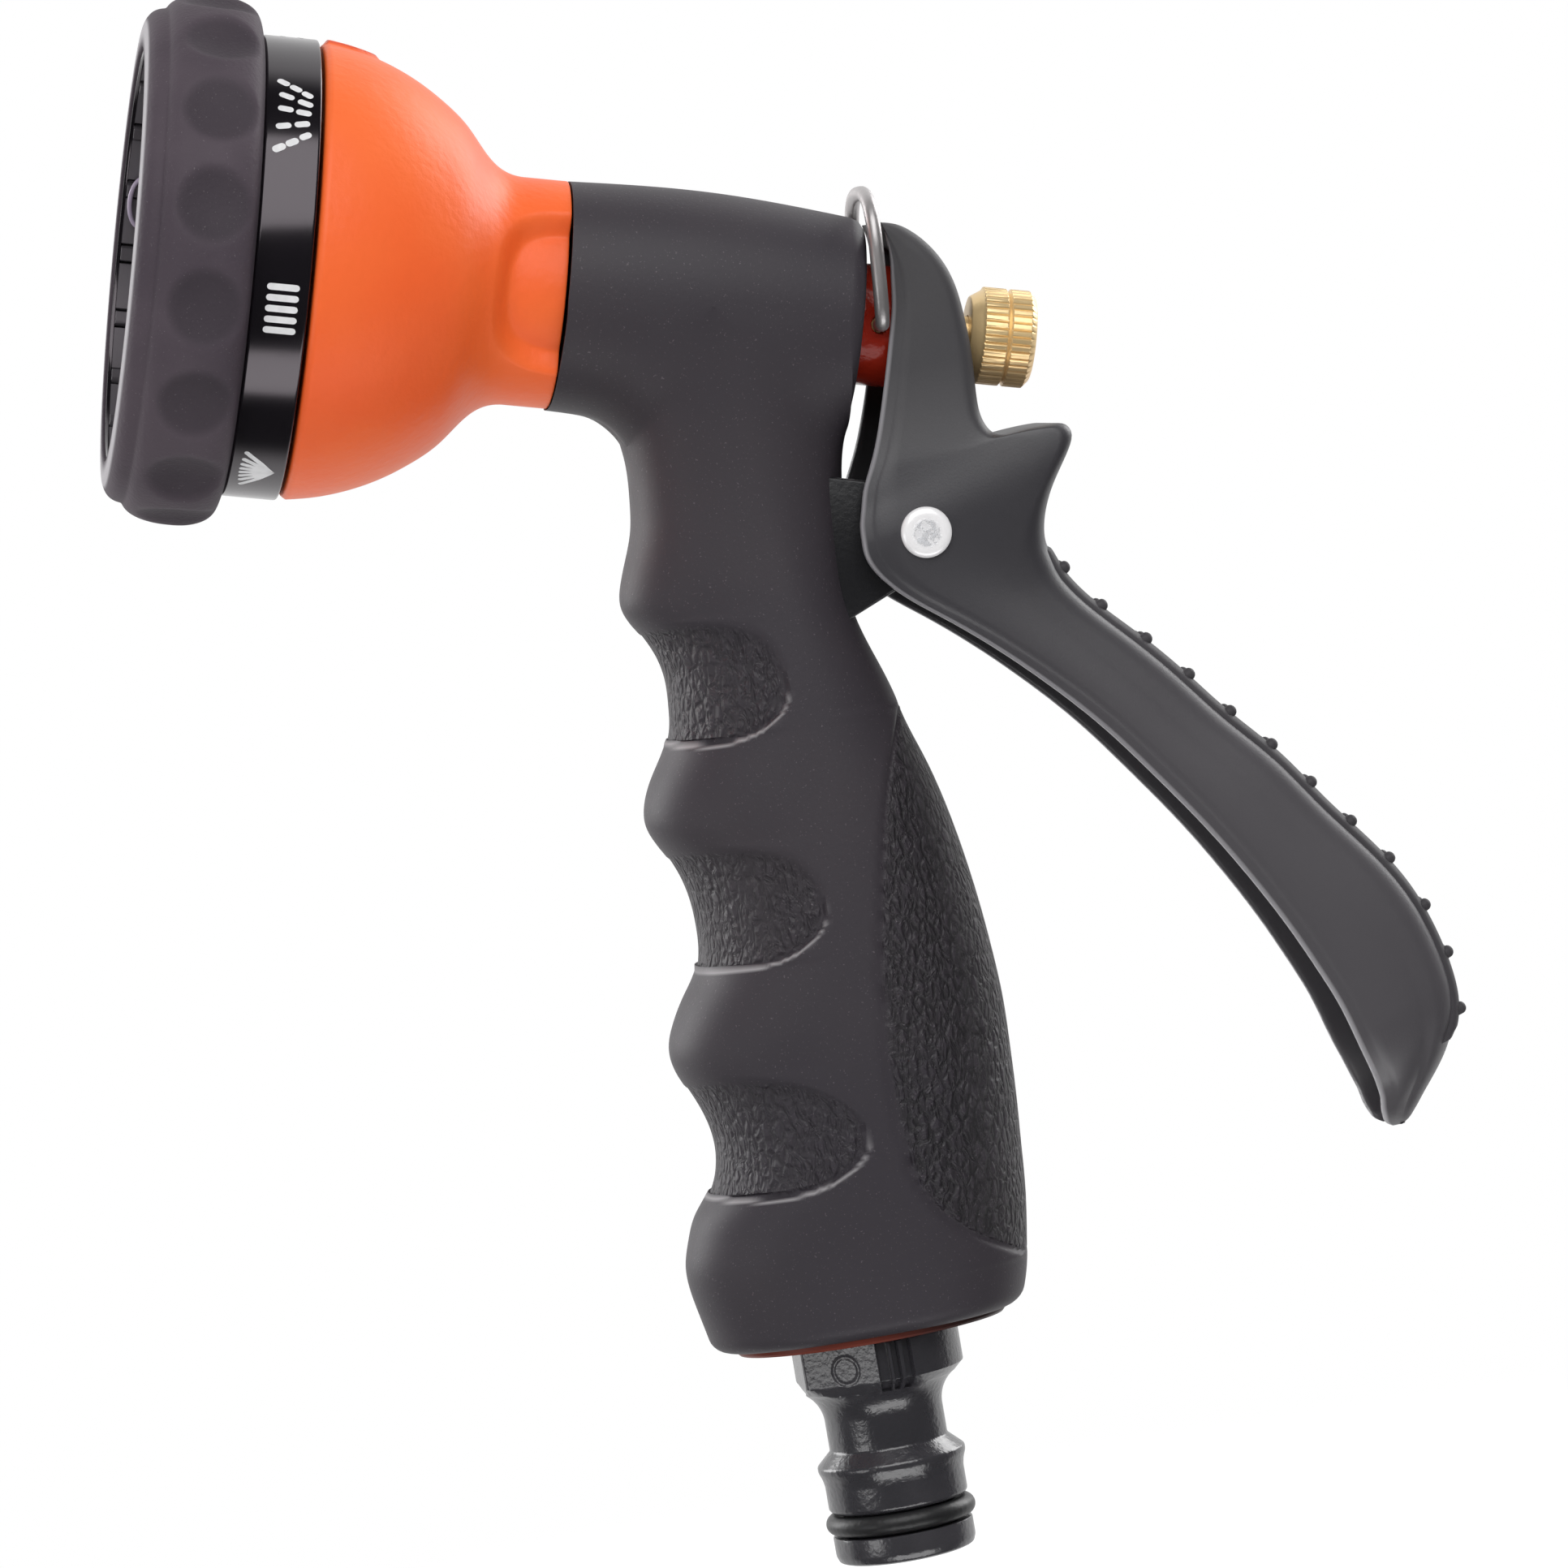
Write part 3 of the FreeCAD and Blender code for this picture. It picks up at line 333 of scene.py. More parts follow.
def relief(x, z):
    """How deep the surface is sunk (mm) and how much grain it shows, seen from the side at (x, z).
    Each hollow goes down over 0.3 mm at its lower ledge and over 1.4 mm at its top; the palm panel goes down
    over 0.6 mm with a groove along its border. A value under 0 is a painted highlight along a ledge's lower part."""
    sunk, mark_and_painted_light = np.zeros_like(x), np.zeros_like(x)
    for hollow in finger_hollows:
        edge = trace(hollow, 40)
        border = np.vstack([edge, [edge[-1][0] - 14, edge[-1][1]], [edge[0][0] - 14, edge[0][1]]])
        inside = depth_inside(x, z, border)
        low, high = min(p[1] for p in hollow), max(p[1] for p in hollow)
        width = 0.26 + 1.1 * fade(z, low + 3.0, high - 1.0)
        sunk += hollow_depth * fade(inside, -0.25 * width, width)
        # A light line along the lower part of each hollow's ledge: a painted highlight where the ledge catches the
        # light.
        ledge_highlight = 1 - fade(np.abs(inside + 0.02), 0.06, 0.24)
        mark_and_painted_light += hollow_grain * fade(inside, 0.1, 1.2) - ledge_highlight * (1 - fade(z, low + 1.0, (low + high) / 2))
    edge = trace(palm_border, 50)
    inside = depth_inside(x, z, np.vstack([edge, [40.0, edge[-1][1]], [40.0, edge[0][1]]]))
    sunk += panel_depth * fade(inside, -0.3, 0.3) + groove_depth * (1 - fade(np.abs(inside), 0.1, 0.55))
    return sunk, mark_and_painted_light + fade(inside, 0.2, 0.9)


def rib_grid(middle, edge, width, columns, squareness=0.93):
    """Ribs from one side ridge over the outline to the other: middle + (edge - middle) cos^k, y = width sin^k.
    Rows follow the ridge. Then each point sinks against the surface's direction by relief(), after the outline
    has gone out by most of that, so that it stays where it was drawn."""
    outward = edge - middle
    outward /= np.linalg.norm(outward, axis=1)[:, None]
    sunk, _ = relief(edge[:, 0], edge[:, 1])
    edge = edge + outward * (sunk * 0.85)[:, None]
    turn = np.linspace(-math.pi / 2, math.pi / 2, columns)
    along = np.abs(np.cos(turn)) ** squareness
    along[[0, -1]] = 0.0
    across = np.sign(np.sin(turn)) * np.abs(np.sin(turn)) ** squareness
    flat = middle[:, None] + (edge - middle)[:, None] * along[None, :, None]
    grid = np.stack([flat[..., 0], width[:, None] * across[None], flat[..., 1]], -1)
    normal = np.cross(np.gradient(grid, axis=0), np.gradient(grid, axis=1))
    normal /= np.linalg.norm(normal, axis=-1)[..., None] + 1e-12
    from_ridge = grid - np.stack([middle[:, 0], 0 * middle[:, 0], middle[:, 1]], -1)[:, None]
    normal *= np.sign((normal * from_ridge).sum(-1))[..., None]
    sunk, mark_and_painted_light = relief(grid[..., 0], grid[..., 2])
    return grid - normal * sunk[..., None], mark_and_painted_light


def flat_barrel(along, radius):
    """(x, z) of a point in the middle plane, from its place along the barrel and its height over the axis."""
    return on_barrel(along, radius)[..., [0, 2]]


# Stations: front half of the barrel, rear half, and the handle from the junction down to its rounded rim.
front_half, rear_half = np.linspace(0, junction, 54), np.linspace(junction, barrel_end, 54)
levels = np.linspace(axis_level, sleeve_bottom + sleeve_rim, 372)
rim_turn = np.linspace(0, math.pi / 2, 7)[1:]
rim_level = sleeve_bottom + sleeve_rim - sleeve_rim * np.sin(rim_turn)
levels, inset = np.r_[levels, rim_level], np.r_[0 * levels, sleeve_rim * (1 - np.cos(rim_turn))]
levels, inset = np.r_[levels, sleeve_bottom, sleeve_bottom + 0.6], np.r_[inset, 3.2, 3.2]


def by_level(pairs, level):
    """Smooth line through (level, value) pairs."""
    pairs = sorted(pairs)
    return smooth_line([p[0] for p in pairs], [p[1] for p in pairs], level)


handle_ridge = np.column_stack([by_level(ridge, levels), levels])
handle_width = by_level(half_width, levels) - inset


def eased(grid, fold, reach=60, spread=9):
    """Evens out the fold where the ribs turn from the barrel down the handle: twice, rows within reach of the
    fold move towards a bell-weighted mean of their neighbours, but the outline and the ridge stay."""
    beside = np.arange(-3 * spread, 3 * spread + 1)
    weights = np.exp(-0.5 * (beside / spread) ** 2)
    rows = np.clip(np.arange(len(grid))[:, None] + beside, 0, len(grid) - 1)
    near = 1 - fade(np.abs(np.arange(len(grid)) - fold), 0.3 * reach, reach)
    across = np.abs(np.linspace(-1, 1, grid.shape[1]))
    share = (near[:, None] * fade(across, 0.0, 0.22) * (1 - fade(across, 0.86, 1.0)))[..., None]
    for _ in range(2):
        mean = (grid[rows] * (weights / weights.sum())[None, :, None, None]).sum(1)
        grid = grid + (mean - grid) * share
    return grid


def ribs_round(half, measure, outline, pairs, inward, columns):
    """Ribs that turn from the barrel down the handle, in front or behind. half is their places along the barrel,
    up to the junction. A rib's own run is its height, and past the junction its distance from there on top;
    pairs give the outline's measure at a run. The rim rounds off towards inward, the x direction."""
    run = np.r_[axis_level + np.abs(half[:-1] - junction), levels]
    edge = smooth_line(measure, outline, by_level(pairs, run))
    edge[:, 0] += inward * np.r_[0 * half[:-1], inset]
    middle = np.vstack([flat_barrel(half[:-1], 0.0), handle_ridge])
    grid, mark_and_painted_light = rib_grid(middle, edge, np.r_[by_level(barrel_radius, half[:-1]), handle_width], columns)
    return eased(grid, len(half) - 1), mark_and_painted_light


# The front outline's own measure is its height down the handle and its length past the crotch to the neck.
upper = np.array([flat_barrel(along, height) for along, height in crotch])
front_line = np.vstack([np.array(sleeve_front)[::-1], upper[::-1]])
front_length = np.cumsum(np.linalg.norm(np.diff(front_line, axis=0), axis=1))
front_count = len(sleeve_front)
past_crotch = front_length[front_count - 1:] - front_length[front_count - 2]
front_measure = np.r_[front_line[:front_count, 1], front_line[front_count - 1, 1] + past_crotch]
front_grid, front_grain_and_ledge_highlight = ribs_round(front_half, front_measure, front_line, [
    (26.2, 26.2), (60.0, 60.0), (90.0, 90.0), (104.0, 103.8), (116.0, 113.6), (128.0, 121.0), (136.0, 126.0),
    (axis_level, 131.0), (axis_level + junction, front_measure[-1])], 1, 104)
back_line = np.array(sleeve_back[::-1])
back_grid, back_grain = ribs_round(rear_half[::-1], back_line[:, 1], back_line, [
    (26.2, 26.2), (80.0, 80.0), (104.0, 102.5), (120.0, 112.5), (132.0, 118.0), (axis_level, 122.2),
    (axis_level + 6.0, 124.2), (axis_level + barrel_end - junction, 126.3)], -1, 78)
top_along = np.r_[front_half, rear_half[1:]]
top_width = by_level(barrel_radius, top_along)
top_grid, top_grain = rib_grid(flat_barrel(top_along, 0.0), flat_barrel(top_along, top_width), top_width, 64)


def closing_rings(upper_rib, lower_rib, steps):
    """Rings that go in from an open end of the barrel: each step is (share of the way in to a circle, its
    radius, place along the barrel). The end's outline is the two ribs end to end."""
    outline = np.vstack([upper_rib, lower_rib[::-1][1:-1]])
    own_place = (outline - barrel_start) @ barrel_back
    across = outline - barrel_start - own_place[:, None] * barrel_back
    size, turn = np.linalg.norm(across, axis=1), np.arctan2(-across[:, 1], across @ barrel_up)
    rings = [outline] + [on_barrel(np.maximum(along, own_place), size * (1 - part) + radius * part, turn)
                         for part, radius, along in steps]
    rings = np.array(rings).transpose(1, 0, 2)
    return np.vstack([rings, rings[:1]])


boss_hole = 6.95                      # the rear end closes round the boss
rear_end = closing_rings(top_grid[-1], back_grid[0], [(0.07, boss_hole, 32.8), (0.2, boss_hole, 33.3),
                                                      (0.45, boss_hole, 33.45), (1.0, boss_hole, 33.6),
                                                      (1.0, boss_hole, 31.0)])
neck_end = closing_rings(top_grid[0], front_grid[0], [(0.12, 11.0, -0.05), (0.25, 11.0, 0.3), (1.0, 9.3, 0.3)])

# Charcoal rubber: faint purple and brown drift, fine sparkle, and worm-like creases where the grain is.
rubber = Finish("sleeve_rubber", {"Roughness": 0.5, "Specular IOR Level": 0.45})
drift = rubber.noise(28.0, 3.0, 0.5)
sparkle = rubber.noise(4500.0, 1.0, 0.4).step(0.68, 0.78)
grain_and_ledge_highlight = rubber.mark()
creases = rubber.node("TexVoronoi", {"feature": "DISTANCE_TO_EDGE"}, {
    "Vector": rubber.place(scale=(1.0, 1.0, 0.62)), "Scale": 900.0, "Randomness": 1.0})
worms = rubber.noise(720.0, 2.0, 0.6, rubber.place(scale=(1.0, 1.0, 0.55)), 1.6)
valley = creases.step(0.02, 0.32) * 0.55 + worms.step(0.35, 0.62) * 0.45
tone = rubber.blend(drift.step(0.35, 0.65), (0.037, 0.0315, 0.040), (0.043, 0.036, 0.0435))
tone = rubber.blend(grain_and_ledge_highlight * (1 - valley) * 0.75, tone, (0.012, 0.0115, 0.0125))
# Painted highlight: light grey along the finger hollows' lower ledges.
tone = rubber.blend(grain_and_ledge_highlight * -1.0, tone, (0.30, 0.29, 0.30))
rubber.tint(sparkle * 0.35, tone, (0.20, 0.17, 0.19),
            Roughness=0.52 - sparkle * 0.15 - grain_and_ledge_highlight * valley * 0.06 + drift * 0.05)
rubber.bump(valley * grain_and_ledge_highlight.step(0.0, 0.5) * 0.7 + rubber.noise(2100.0, 2.0, 0.6) * 0.05, 0.0005)
make_piece("rubber_sleeve", [front_grid, back_grid, top_grid, rear_end, neck_end], rubber, "body", ["grip_sleeve"],
           40.0,
           marks=[front_grain_and_ledge_highlight, back_grain, top_grain, 0 * rear_end[..., 0], 0 * neck_end[..., 0]])

# ---------------------------------------------------------------- bell and neck
# Zinc die-casting in glossy orange paint: a domed bell that carries the dial, drawn in to a round neck with
# a shallow pocket in each side, open towards the sleeve. A raised pad on top points at the chosen pattern.


def arc(first, second, third, count):
    """count points on the circle through three points, from the first to the third."""
    (ax, ay), (bx, by), (cx, cy) = first, second, third
    d = 2 * (ax * (by - cy) + bx * (cy - ay) + cx * (ay - by))
    ux = ((ax ** 2 + ay ** 2) * (by - cy) + (bx ** 2 + by ** 2) * (cy - ay) + (cx ** 2 + cy ** 2) * (ay - by)) / d
    uy = ((ax ** 2 + ay ** 2) * (cx - bx) + (bx ** 2 + by ** 2) * (ax - cx) + (cx ** 2 + cy ** 2) * (bx - ax)) / d
    turn = np.unwrap([math.atan2(y - uy, x - ux) for x, y in (first, second, third)])
    turn = np.interp(np.linspace(0, 2, count), [0, 1, 2], turn)
    return np.column_stack([ux + math.hypot(ax - ux, ay - uy) * np.cos(turn),
                            uy + math.hypot(ax - ux, ay - uy) * np.sin(turn)])


def softened(corners, size, steps=5):
    """Open line whose inner corners are cut back by size (or half a side) and rounded by a quadratic curve."""
    corners = np.asarray(corners, float)
    line = [corners[0]]
    for before, corner, after in zip(corners, corners[1:], corners[2:]):
        into, out = before - corner, after - corner
        start = corner + into * min(size / np.linalg.norm(into), 0.45)
        end = corner + out * min(size / np.linalg.norm(out), 0.45)
        t = np.linspace(0, 1, steps)[:, None]
        line += list((1 - t) ** 2 * start + 2 * t * (1 - t) * corner + t ** 2 * end)
    return np.array(line + [corners[-1]])


def turned(line, columns):
    """A line of (place along the barrel, radius) and the turns that carry it round the barrel's axis."""
    return line[:, :1], line[:, 1:], circle(columns)[None]


bell_face, neck_radius, neck_start = -29.1, 12.8, -0.12
bell_dome = arc((-28.4, 25.6), (-19.9, 23.25), (-10.0, 15.8), 76)
bell_foot = arc((-10.0, 15.8), (-8.3, 13.85), (-5.6, neck_radius), 26)
bell_side = trace(np.vstack([bell_dome[:-9:11], bell_foot[8::6], [(-5.2, neck_radius), (-4.6, neck_radius)]]), 104)
bell_line = np.vstack([
    [(bell_face, 0.02), (bell_face, 10.0)], softened([(bell_face, 20.0), (bell_face, 25.2), (-28.4, 25.6)], 0.5),
    bell_side[1:], [(x, neck_radius) for x in np.linspace(-4.4, -0.7, 16)],
    softened([(-0.55, neck_radius), (neck_start, neck_radius), (neck_start, 12.2)], 0.25),
    [(neck_start, 10.0), (neck_start, 0.02)]])
along, radius, turn = turned(bell_line, 440)
over_top = (turn + math.pi) % (2 * math.pi) - math.pi
pad_front, pad_end, pad_half, pad_height = -28.6, -22.5, 3.1, 0.35
pad_inside = np.minimum(np.minimum(along - pad_front, pad_end - along), pad_half - np.abs(over_top * radius))
from_centre = np.hypot(np.minimum(pad_end - pad_half - along, 0), np.abs(over_top * radius))
pad_inside = np.where(along > pad_end - pad_half, pad_half - from_centre, pad_inside)
pad = fade(pad_inside, -0.15, 0.3)
radius = radius + pad_height * pad
up, near = radius * np.cos(turn), radius * np.sin(turn)
from_side = np.abs(np.arctan2(up, np.abs(near))) * neck_radius
pocket_at, pocket_half_length, pocket_half_width, pocket_depth, squareness = 0.6, 8.4, 9.4, 2.0, 2.8
pocket = 1 - ((np.abs(along - pocket_at) / pocket_half_length) ** squareness
              + (from_side / pocket_half_width) ** squareness) ** (1 / squareness)
radius = radius - pocket_depth * fade(pocket, -0.09, 0.17)
orange = Finish("orange_paint", {"Specular IOR Level": 0.35})
patchy = orange.noise(34.0, 3.0, 0.55)
paint = orange.blend(patchy.step(0.3, 0.7), (0.92, 0.122, 0.022), (0.96, 0.165, 0.034))
orange.tint(orange.mark(), paint, (0.66, 0.052, 0.014), Roughness=0.36 + patchy * 0.12)
orange.bump(orange.noise(900.0, 3.0, 0.5) * 0.6 + orange.noise(120.0, 2.0) * 0.8, 0.00012)
make_piece("bell_and_neck", [on_barrel(along, radius, turn)], orange, "body", ["body_casting"], 40.0,
           closed=True, marks=[pad * (1 - fade(pad_inside, 0.2, 0.7) * 0.75)])

# ---------------------------------------------------------------- rear boss and handle foot
# The casting again where it leaves the sleeve: the boss that holds the clip and the valve's gland, with a
# flat ground round each clip hole, and the narrow foot of the handle. Both get a darker, redder copy of the orange
# paint as painted shade.
boss_start, boss_end, boss_radius, clip_at = 32.0, 38.5, 6.85, 35.7
boss_line = softened([(boss_start, 0.02), (boss_start, boss_radius), (boss_end, boss_radius), (boss_end, 0.02)], 0.45)
boss_line = np.vstack([boss_line[:-6], [(x, boss_radius) for x in np.linspace(33, 37.6, 40)], boss_line[-6:]])
along, radius, turn = turned(boss_line, 200)
up, near = radius * np.cos(turn), radius * np.sin(turn)
spot_radius, hole_radius, spot_height, hole_depth = 1.95, 0.9, 6.55, 1.1
from_hole = np.hypot(along - clip_at, up)
spot_face = fade(spot_radius - from_hole, -0.08, 0.12)
floor_level = spot_height - hole_depth * fade(hole_radius - from_hole, -0.1, 0.1)
near = np.where(spot_face > 0, np.sign(near) * (np.abs(near) * (1 - spot_face)
                                                + np.minimum(np.abs(near), floor_level) * spot_face), near)
# Painted shade: the boss has the bell's orange paint, given darker and redder because it sits in shade.
shaded_orange = Finish("shaded_orange_paint", {"Roughness": 0.20, "Specular IOR Level": 0.25})
shaded_orange.tint(shaded_orange.noise(150.0).step(0.3, 0.7), (0.34, 0.019, 0.008), (0.41, 0.025, 0.010))
shaded_orange.bump(shaded_orange.noise(900.0, 3.0, 0.5), 0.00010)
make_piece("rear_boss", [on_barrel(along, np.hypot(up, near), np.arctan2(near, up))], shaded_orange, "body",
           closed=True)
foot_turn, foot_x, foot_half_length, foot_half_width = circle(160), 0.2, 15.4, 11.3
foot_rows = [(0.0, 25.5), (0.80, 25.5), (0.985, 25.5), (1.0, 25.75), (1.0, 27.5), (0.0, 27.5)]
foot_grid = np.array([np.column_stack([
    foot_x + foot_half_length * size * np.cos(foot_turn), foot_half_width * size * np.sin(foot_turn),
    np.full_like(foot_turn, level)]) for size, level in foot_rows])
# Painted shade: the foot has the same orange paint, given as a dark red-brown that goes nearly black towards the back.
shaded_foot_paint = Finish("shaded_foot_paint", {"Roughness": 0.4, "Specular IOR Level": 0.3})
shaded_foot_paint.tint(shaded_foot_paint.axis(0).step(-0.004, 0.012), (0.150, 0.026, 0.014), (0.030, 0.013, 0.012))
make_piece("handle_foot", [foot_grid], shaded_foot_paint, "body", closed=True)

# ---------------------------------------------------------------- pivot ear
# Part of the casting too, in black: a thick ear out of the handle's back, rounded about the lever's pivot.
lever_joint = next(joint for joint in frame["joints"] if joint["name"] == "lever_squeeze")
pivot_x, _, pivot_z = (1000.0 * part for part in lever_joint["pos_m"])


def plate(outline, half_width, edge, middle):
    """Grid of a thick plate square to Y: out from the middle on one face, round the edge and in again."""
    outline, middle = np.asarray(outline, float), np.asarray(middle, float)
    outward = outline - middle
    size = np.linalg.norm(outward, axis=1)[:, None]
    grid = []
    for side in (-1, 1):
        face = []
        for part, turn in [(0.0, 0.0)] + [(1.0, turn) for turn in np.linspace(0, math.pi / 2, 5)]:
            flat = middle + outward * part * (1 - edge * (1 - math.sin(turn)) / size)
            y = side * (half_width - edge * (1 - math.cos(turn)))
            face.append(np.column_stack([flat[:, 0], np.full(len(flat), y), flat[:, 1]]))
        grid += face if side < 0 else face[::-1]
    return np.array(grid)


ear_turn = np.linspace(-1.35, 1.45, 40)
ear_radius, ear_half_width = 5.6, 7.2
ear_round = np.column_stack([pivot_x + ear_radius * np.cos(ear_turn), pivot_z + ear_radius * np.sin(ear_turn)])
ear_outline = np.vstack([ear_round, trace([(pivot_x - 3.5, pivot_z + 6.0), (7.0, pivot_z + 9.0)], 12),
                         trace([(7.0, pivot_z - 9.6), (pivot_x - 3.5, pivot_z - 5.2)], 12)])
black = Finish("black_powder_coat", {"Roughness": 0.36, "Specular IOR Level": 0.5})
orange_peel = black.noise(1500.0, 3.0, 0.6)
black.tint(black.noise(35.0, 3.0).step(0.3, 0.7), (0.0105, 0.0105, 0.0125), (0.0150, 0.0150, 0.0175),
           Roughness=0.33 + orange_peel * 0.12)
black.bump(orange_peel, 0.00005)
make_piece("pivot_ear", [plate(ear_outline, ear_half_width, 0.5, (pivot_x - 4.0, pivot_z))], black, "body",
           closed=True)

# ---------------------------------------------------------------- dial band and cup
# Gloss black moulding: the band that shows between the grip ring and the bell, and the cup that the ring
# is pushed over. Short ribs stand on the cup's inner wall.
band_back, band_front, band_radius = -29.5, -35.7, 25.8
cup_front, cup_wall_out, cup_wall_in = -48.6, 24.3, 22.6
cup_line = np.vstack([
    softened([(band_back, 23.0), (band_back, band_radius), (band_front, band_radius), (band_front, cup_wall_out)],
             0.35, 7),
    softened([(-36.0, cup_wall_out), (-47.7, cup_wall_out), (-47.7, 23.15), (cup_front, 23.15),
              (cup_front, cup_wall_in), (-48.2, cup_wall_in)], 0.2, 3),
    [(x, cup_wall_in) for x in (-48.1, -47.9, -42.4, -42.2, -34.0)], [(-34.0, 23.0), (band_back, 23.0)]])
along, radius, turn = turned(cup_line, 720)
rib_count, rib_start, rib_half, rib_height = 19, math.radians(271.4), 0.82, 0.5
from_rib = ((turn - rib_start) * rib_count / (2 * math.pi) + 0.5) % 1 - 0.5
rib_place = np.abs(from_rib) * 2 * math.pi * cup_wall_in / rib_count
on_wall = (along > -48.15) * (along < -42.3) * (radius < cup_wall_in + 0.01)
ribs = fade(rib_half - rib_place, -0.08, 0.08) * on_wall
rib_edges = (1 - fade(np.abs(rib_place - 0.95), 0.06, 0.2)) * on_wall
# The wall between the ribs, and the ribs themselves, are painted grey as painted light on the lit inner wall; the
# grooves beside each rib stay black as painted shadow.
painted_lit_wall = on_wall * (1 - ribs) * (1 - rib_edges)
gloss = Finish("gloss_black", {"Specular IOR Level": 0.75, "Specular Tint": (1.0, 0.90, 0.97)})
painted_wall_light = gloss.mark()
gloss.tint(painted_wall_light, (0.007, 0.006, 0.008), (0.110, 0.102, 0.112),
           Roughness=0.16 + gloss.noise(300.0, 4.0, 0.6).step(0.55, 0.8) * 0.04 + painted_wall_light * 0.3)
gloss.bump(gloss.noise(60.0, 2.0), 0.00008)
make_piece("dial_band", [on_barrel(along, radius + rib_height * (rib_edges - ribs), turn)], gloss, "dial",
           ["dial_shell"], 30.0, closed=True, marks=[painted_lit_wall + 0.7 * ribs])

# A flat oval loop is moulded on the wall near the mouth, on the far side.
loop_turn, tube_turn = circle(60), circle(10)[:, None]
loop_across = 1.2 + 0.28 * np.cos(tube_turn)
loop_along = -46.5 + loop_across * np.cos(loop_turn)
loop_round = math.radians(287.3) + (loop_across + 1.7) * np.sin(loop_turn) / cup_wall_in
loop_grid = on_barrel(loop_along, cup_wall_in - 0.7 - 0.28 * np.sin(tube_turn), loop_round)
loop_finish = Finish("moulded_loop", {"Roughness": 0.35})
loop_finish.tint(loop_finish.noise(400.0), (0.36, 0.30, 0.40), (0.46, 0.39, 0.50))
make_piece("cup_loop", [np.concatenate([loop_grid, loop_grid[:1]])], loop_finish, "dial",
           closed=True)

# ---------------------------------------------------------------- pattern signs
# White printed signs of the seven spray patterns round the band, made as thin sheets that lie on it: each
# bar is (place along the band, place round it, length, width, tilt in degrees) from the sign's middle, and
# each ray of the fan is (tilt in degrees,). A sign goes with its turn round the band in degrees.
shower = [(-1.40, -4.7, 1.55, 0.86, 33), (-0.03, -3.8, 1.50, 0.84, 33), (1.25, -2.9, 1.40, 0.82, 33),
          (-1.02, -2.4, 1.80, 0.82, 21), (1.05, -1.5, 1.80, 0.82, 21), (-1.10, -0.4, 1.75, 0.80, 7),
          (0.90, -0.05, 1.75, 0.80, 7), (-1.27, 2.05, 1.75, 0.80, -12), (0.78, 1.6, 1.75, 0.80, -12),
          (-1.65, 5.0, 1.60, 0.88, -30), (-0.25, 4.15, 1.55, 0.84, -30), (1.18, 3.2, 1.45, 0.80, -30)]
full = [(0.0, 1.2 * k + 0.05, 3.6, 0.74, 0) for k in (-2, -1, 0, 1, 2)]
jet = [(0.0, 0.0, 4.2, 1.1, 0)]
mist = [(1.5 * i, 1.9 * k, 0.75, 0.75, 0) for i in (-1, 0, 1) for k in (-2, -1, 0, 1, 2)]
flat = [(1.0, 0.0, 0.8, 7.0, 0), (-1.0, 0.0, 0.8, 7.0, 0)]
soft = [(0.0, 2.2 * k, 3.4, 1.0, 0) for k in (-1, 0, 1)]
fan = [(angle,) for angle in np.linspace(-47, 47, 8)]
signs = [(49.6, shower), (100.9, full), (151.9, fan), (203.0, jet), (254.4, mist), (305.8, soft), (357.2, flat)]
sign_line, fan_start, fan_reach = -32.4, 1.7, 3.95


def bar_grid(length, width):
    """Flat bar with round ends: across the bar the half width is that of a half circle near each end."""
    place = np.sin(np.linspace(-math.pi / 2, math.pi / 2, 15)) * length / 2
    end = min(length, width) / 2
    beyond = np.maximum(np.abs(place) - (length / 2 - end), 0) / end
    half = width / 2 * np.sqrt(np.clip(1 - beyond ** 2, 0, 1))
    return np.broadcast_to(place[:, None], (15, 3)), half[:, None] * np.linspace(-1, 1, 3)


sign_grids = []
for turn_to, bars in signs:
    for bar in bars:
        if len(bar) == 1:
            reach = np.sin(np.linspace(0, math.pi / 2, 25))[:, None]
            half = np.minimum(0.02 + 0.62 * reach, 0.29) * np.sqrt(1 - np.clip((reach - 0.94) / 0.06, 0, 1) ** 2)
            middle, tilt = (fan_start, 0.0), math.radians(bar[0])
            place, across = -reach * fan_reach / math.cos(tilt) ** 0.75, half * np.linspace(-1, 1, 3)
        else:
            place, across = bar_grid(bar[2], bar[3])
            middle, tilt = bar[:2], math.radians(bar[4])
        along = middle[0] + place * math.cos(tilt) - across * math.sin(tilt)
        round_band = middle[1] + place * math.sin(tilt) + across * math.cos(tilt)
        sign_grids.append(on_barrel(sign_line + along, band_radius + 0.02,
                                    math.radians(turn_to) + round_band / band_radius))
print_white = Finish("white_print", {"Roughness": 0.45})
print_white.tint(print_white.noise(900.0, 2.0).step(0.3, 0.7), (0.72, 0.72, 0.73), (0.80, 0.80, 0.81))
make_piece("pattern_signs", sign_grids, print_white, "dial")

# ---------------------------------------------------------------- grip ring
# Soft rubber ring pushed over the cup, domed, with a plain lip in front and sixteen shallow round
# dimples for the fingers.
dimple_count, dimple_start, dimple_along = 16, math.radians(11.25), -40.8
dimple_depth, dimple_radius = 1.3, 4.45
ring_line = np.vstack([
    softened([(-47.8, 24.5), (-47.8, 23.2), (-48.95, 23.2), (-48.95, 24.4)], 0.22, 4),
    trace([(-48.95, 24.9), (-48.88, 25.6), (-48.6, 26.4), (-48.0, 27.15), (-47.3, 27.5), (-46.75, 27.62)], 16),
    trace([(-46.55, 27.72), (-46.2, 28.2), (-45.3, 28.85), (-43.8, 29.35), (-42.3, 29.56), (-41.0, 29.6), (-39.4, 29.5),
           (-38.2, 29.2), (-37.1, 28.65), (-36.4, 27.9), (-36.05, 27.0), (-35.85, 26.2), (-35.8, 25.95)], 74),
    [(-35.8, 24.45), (-47.8, 24.45)]])
along, radius, turn = turned(ring_line, 512)
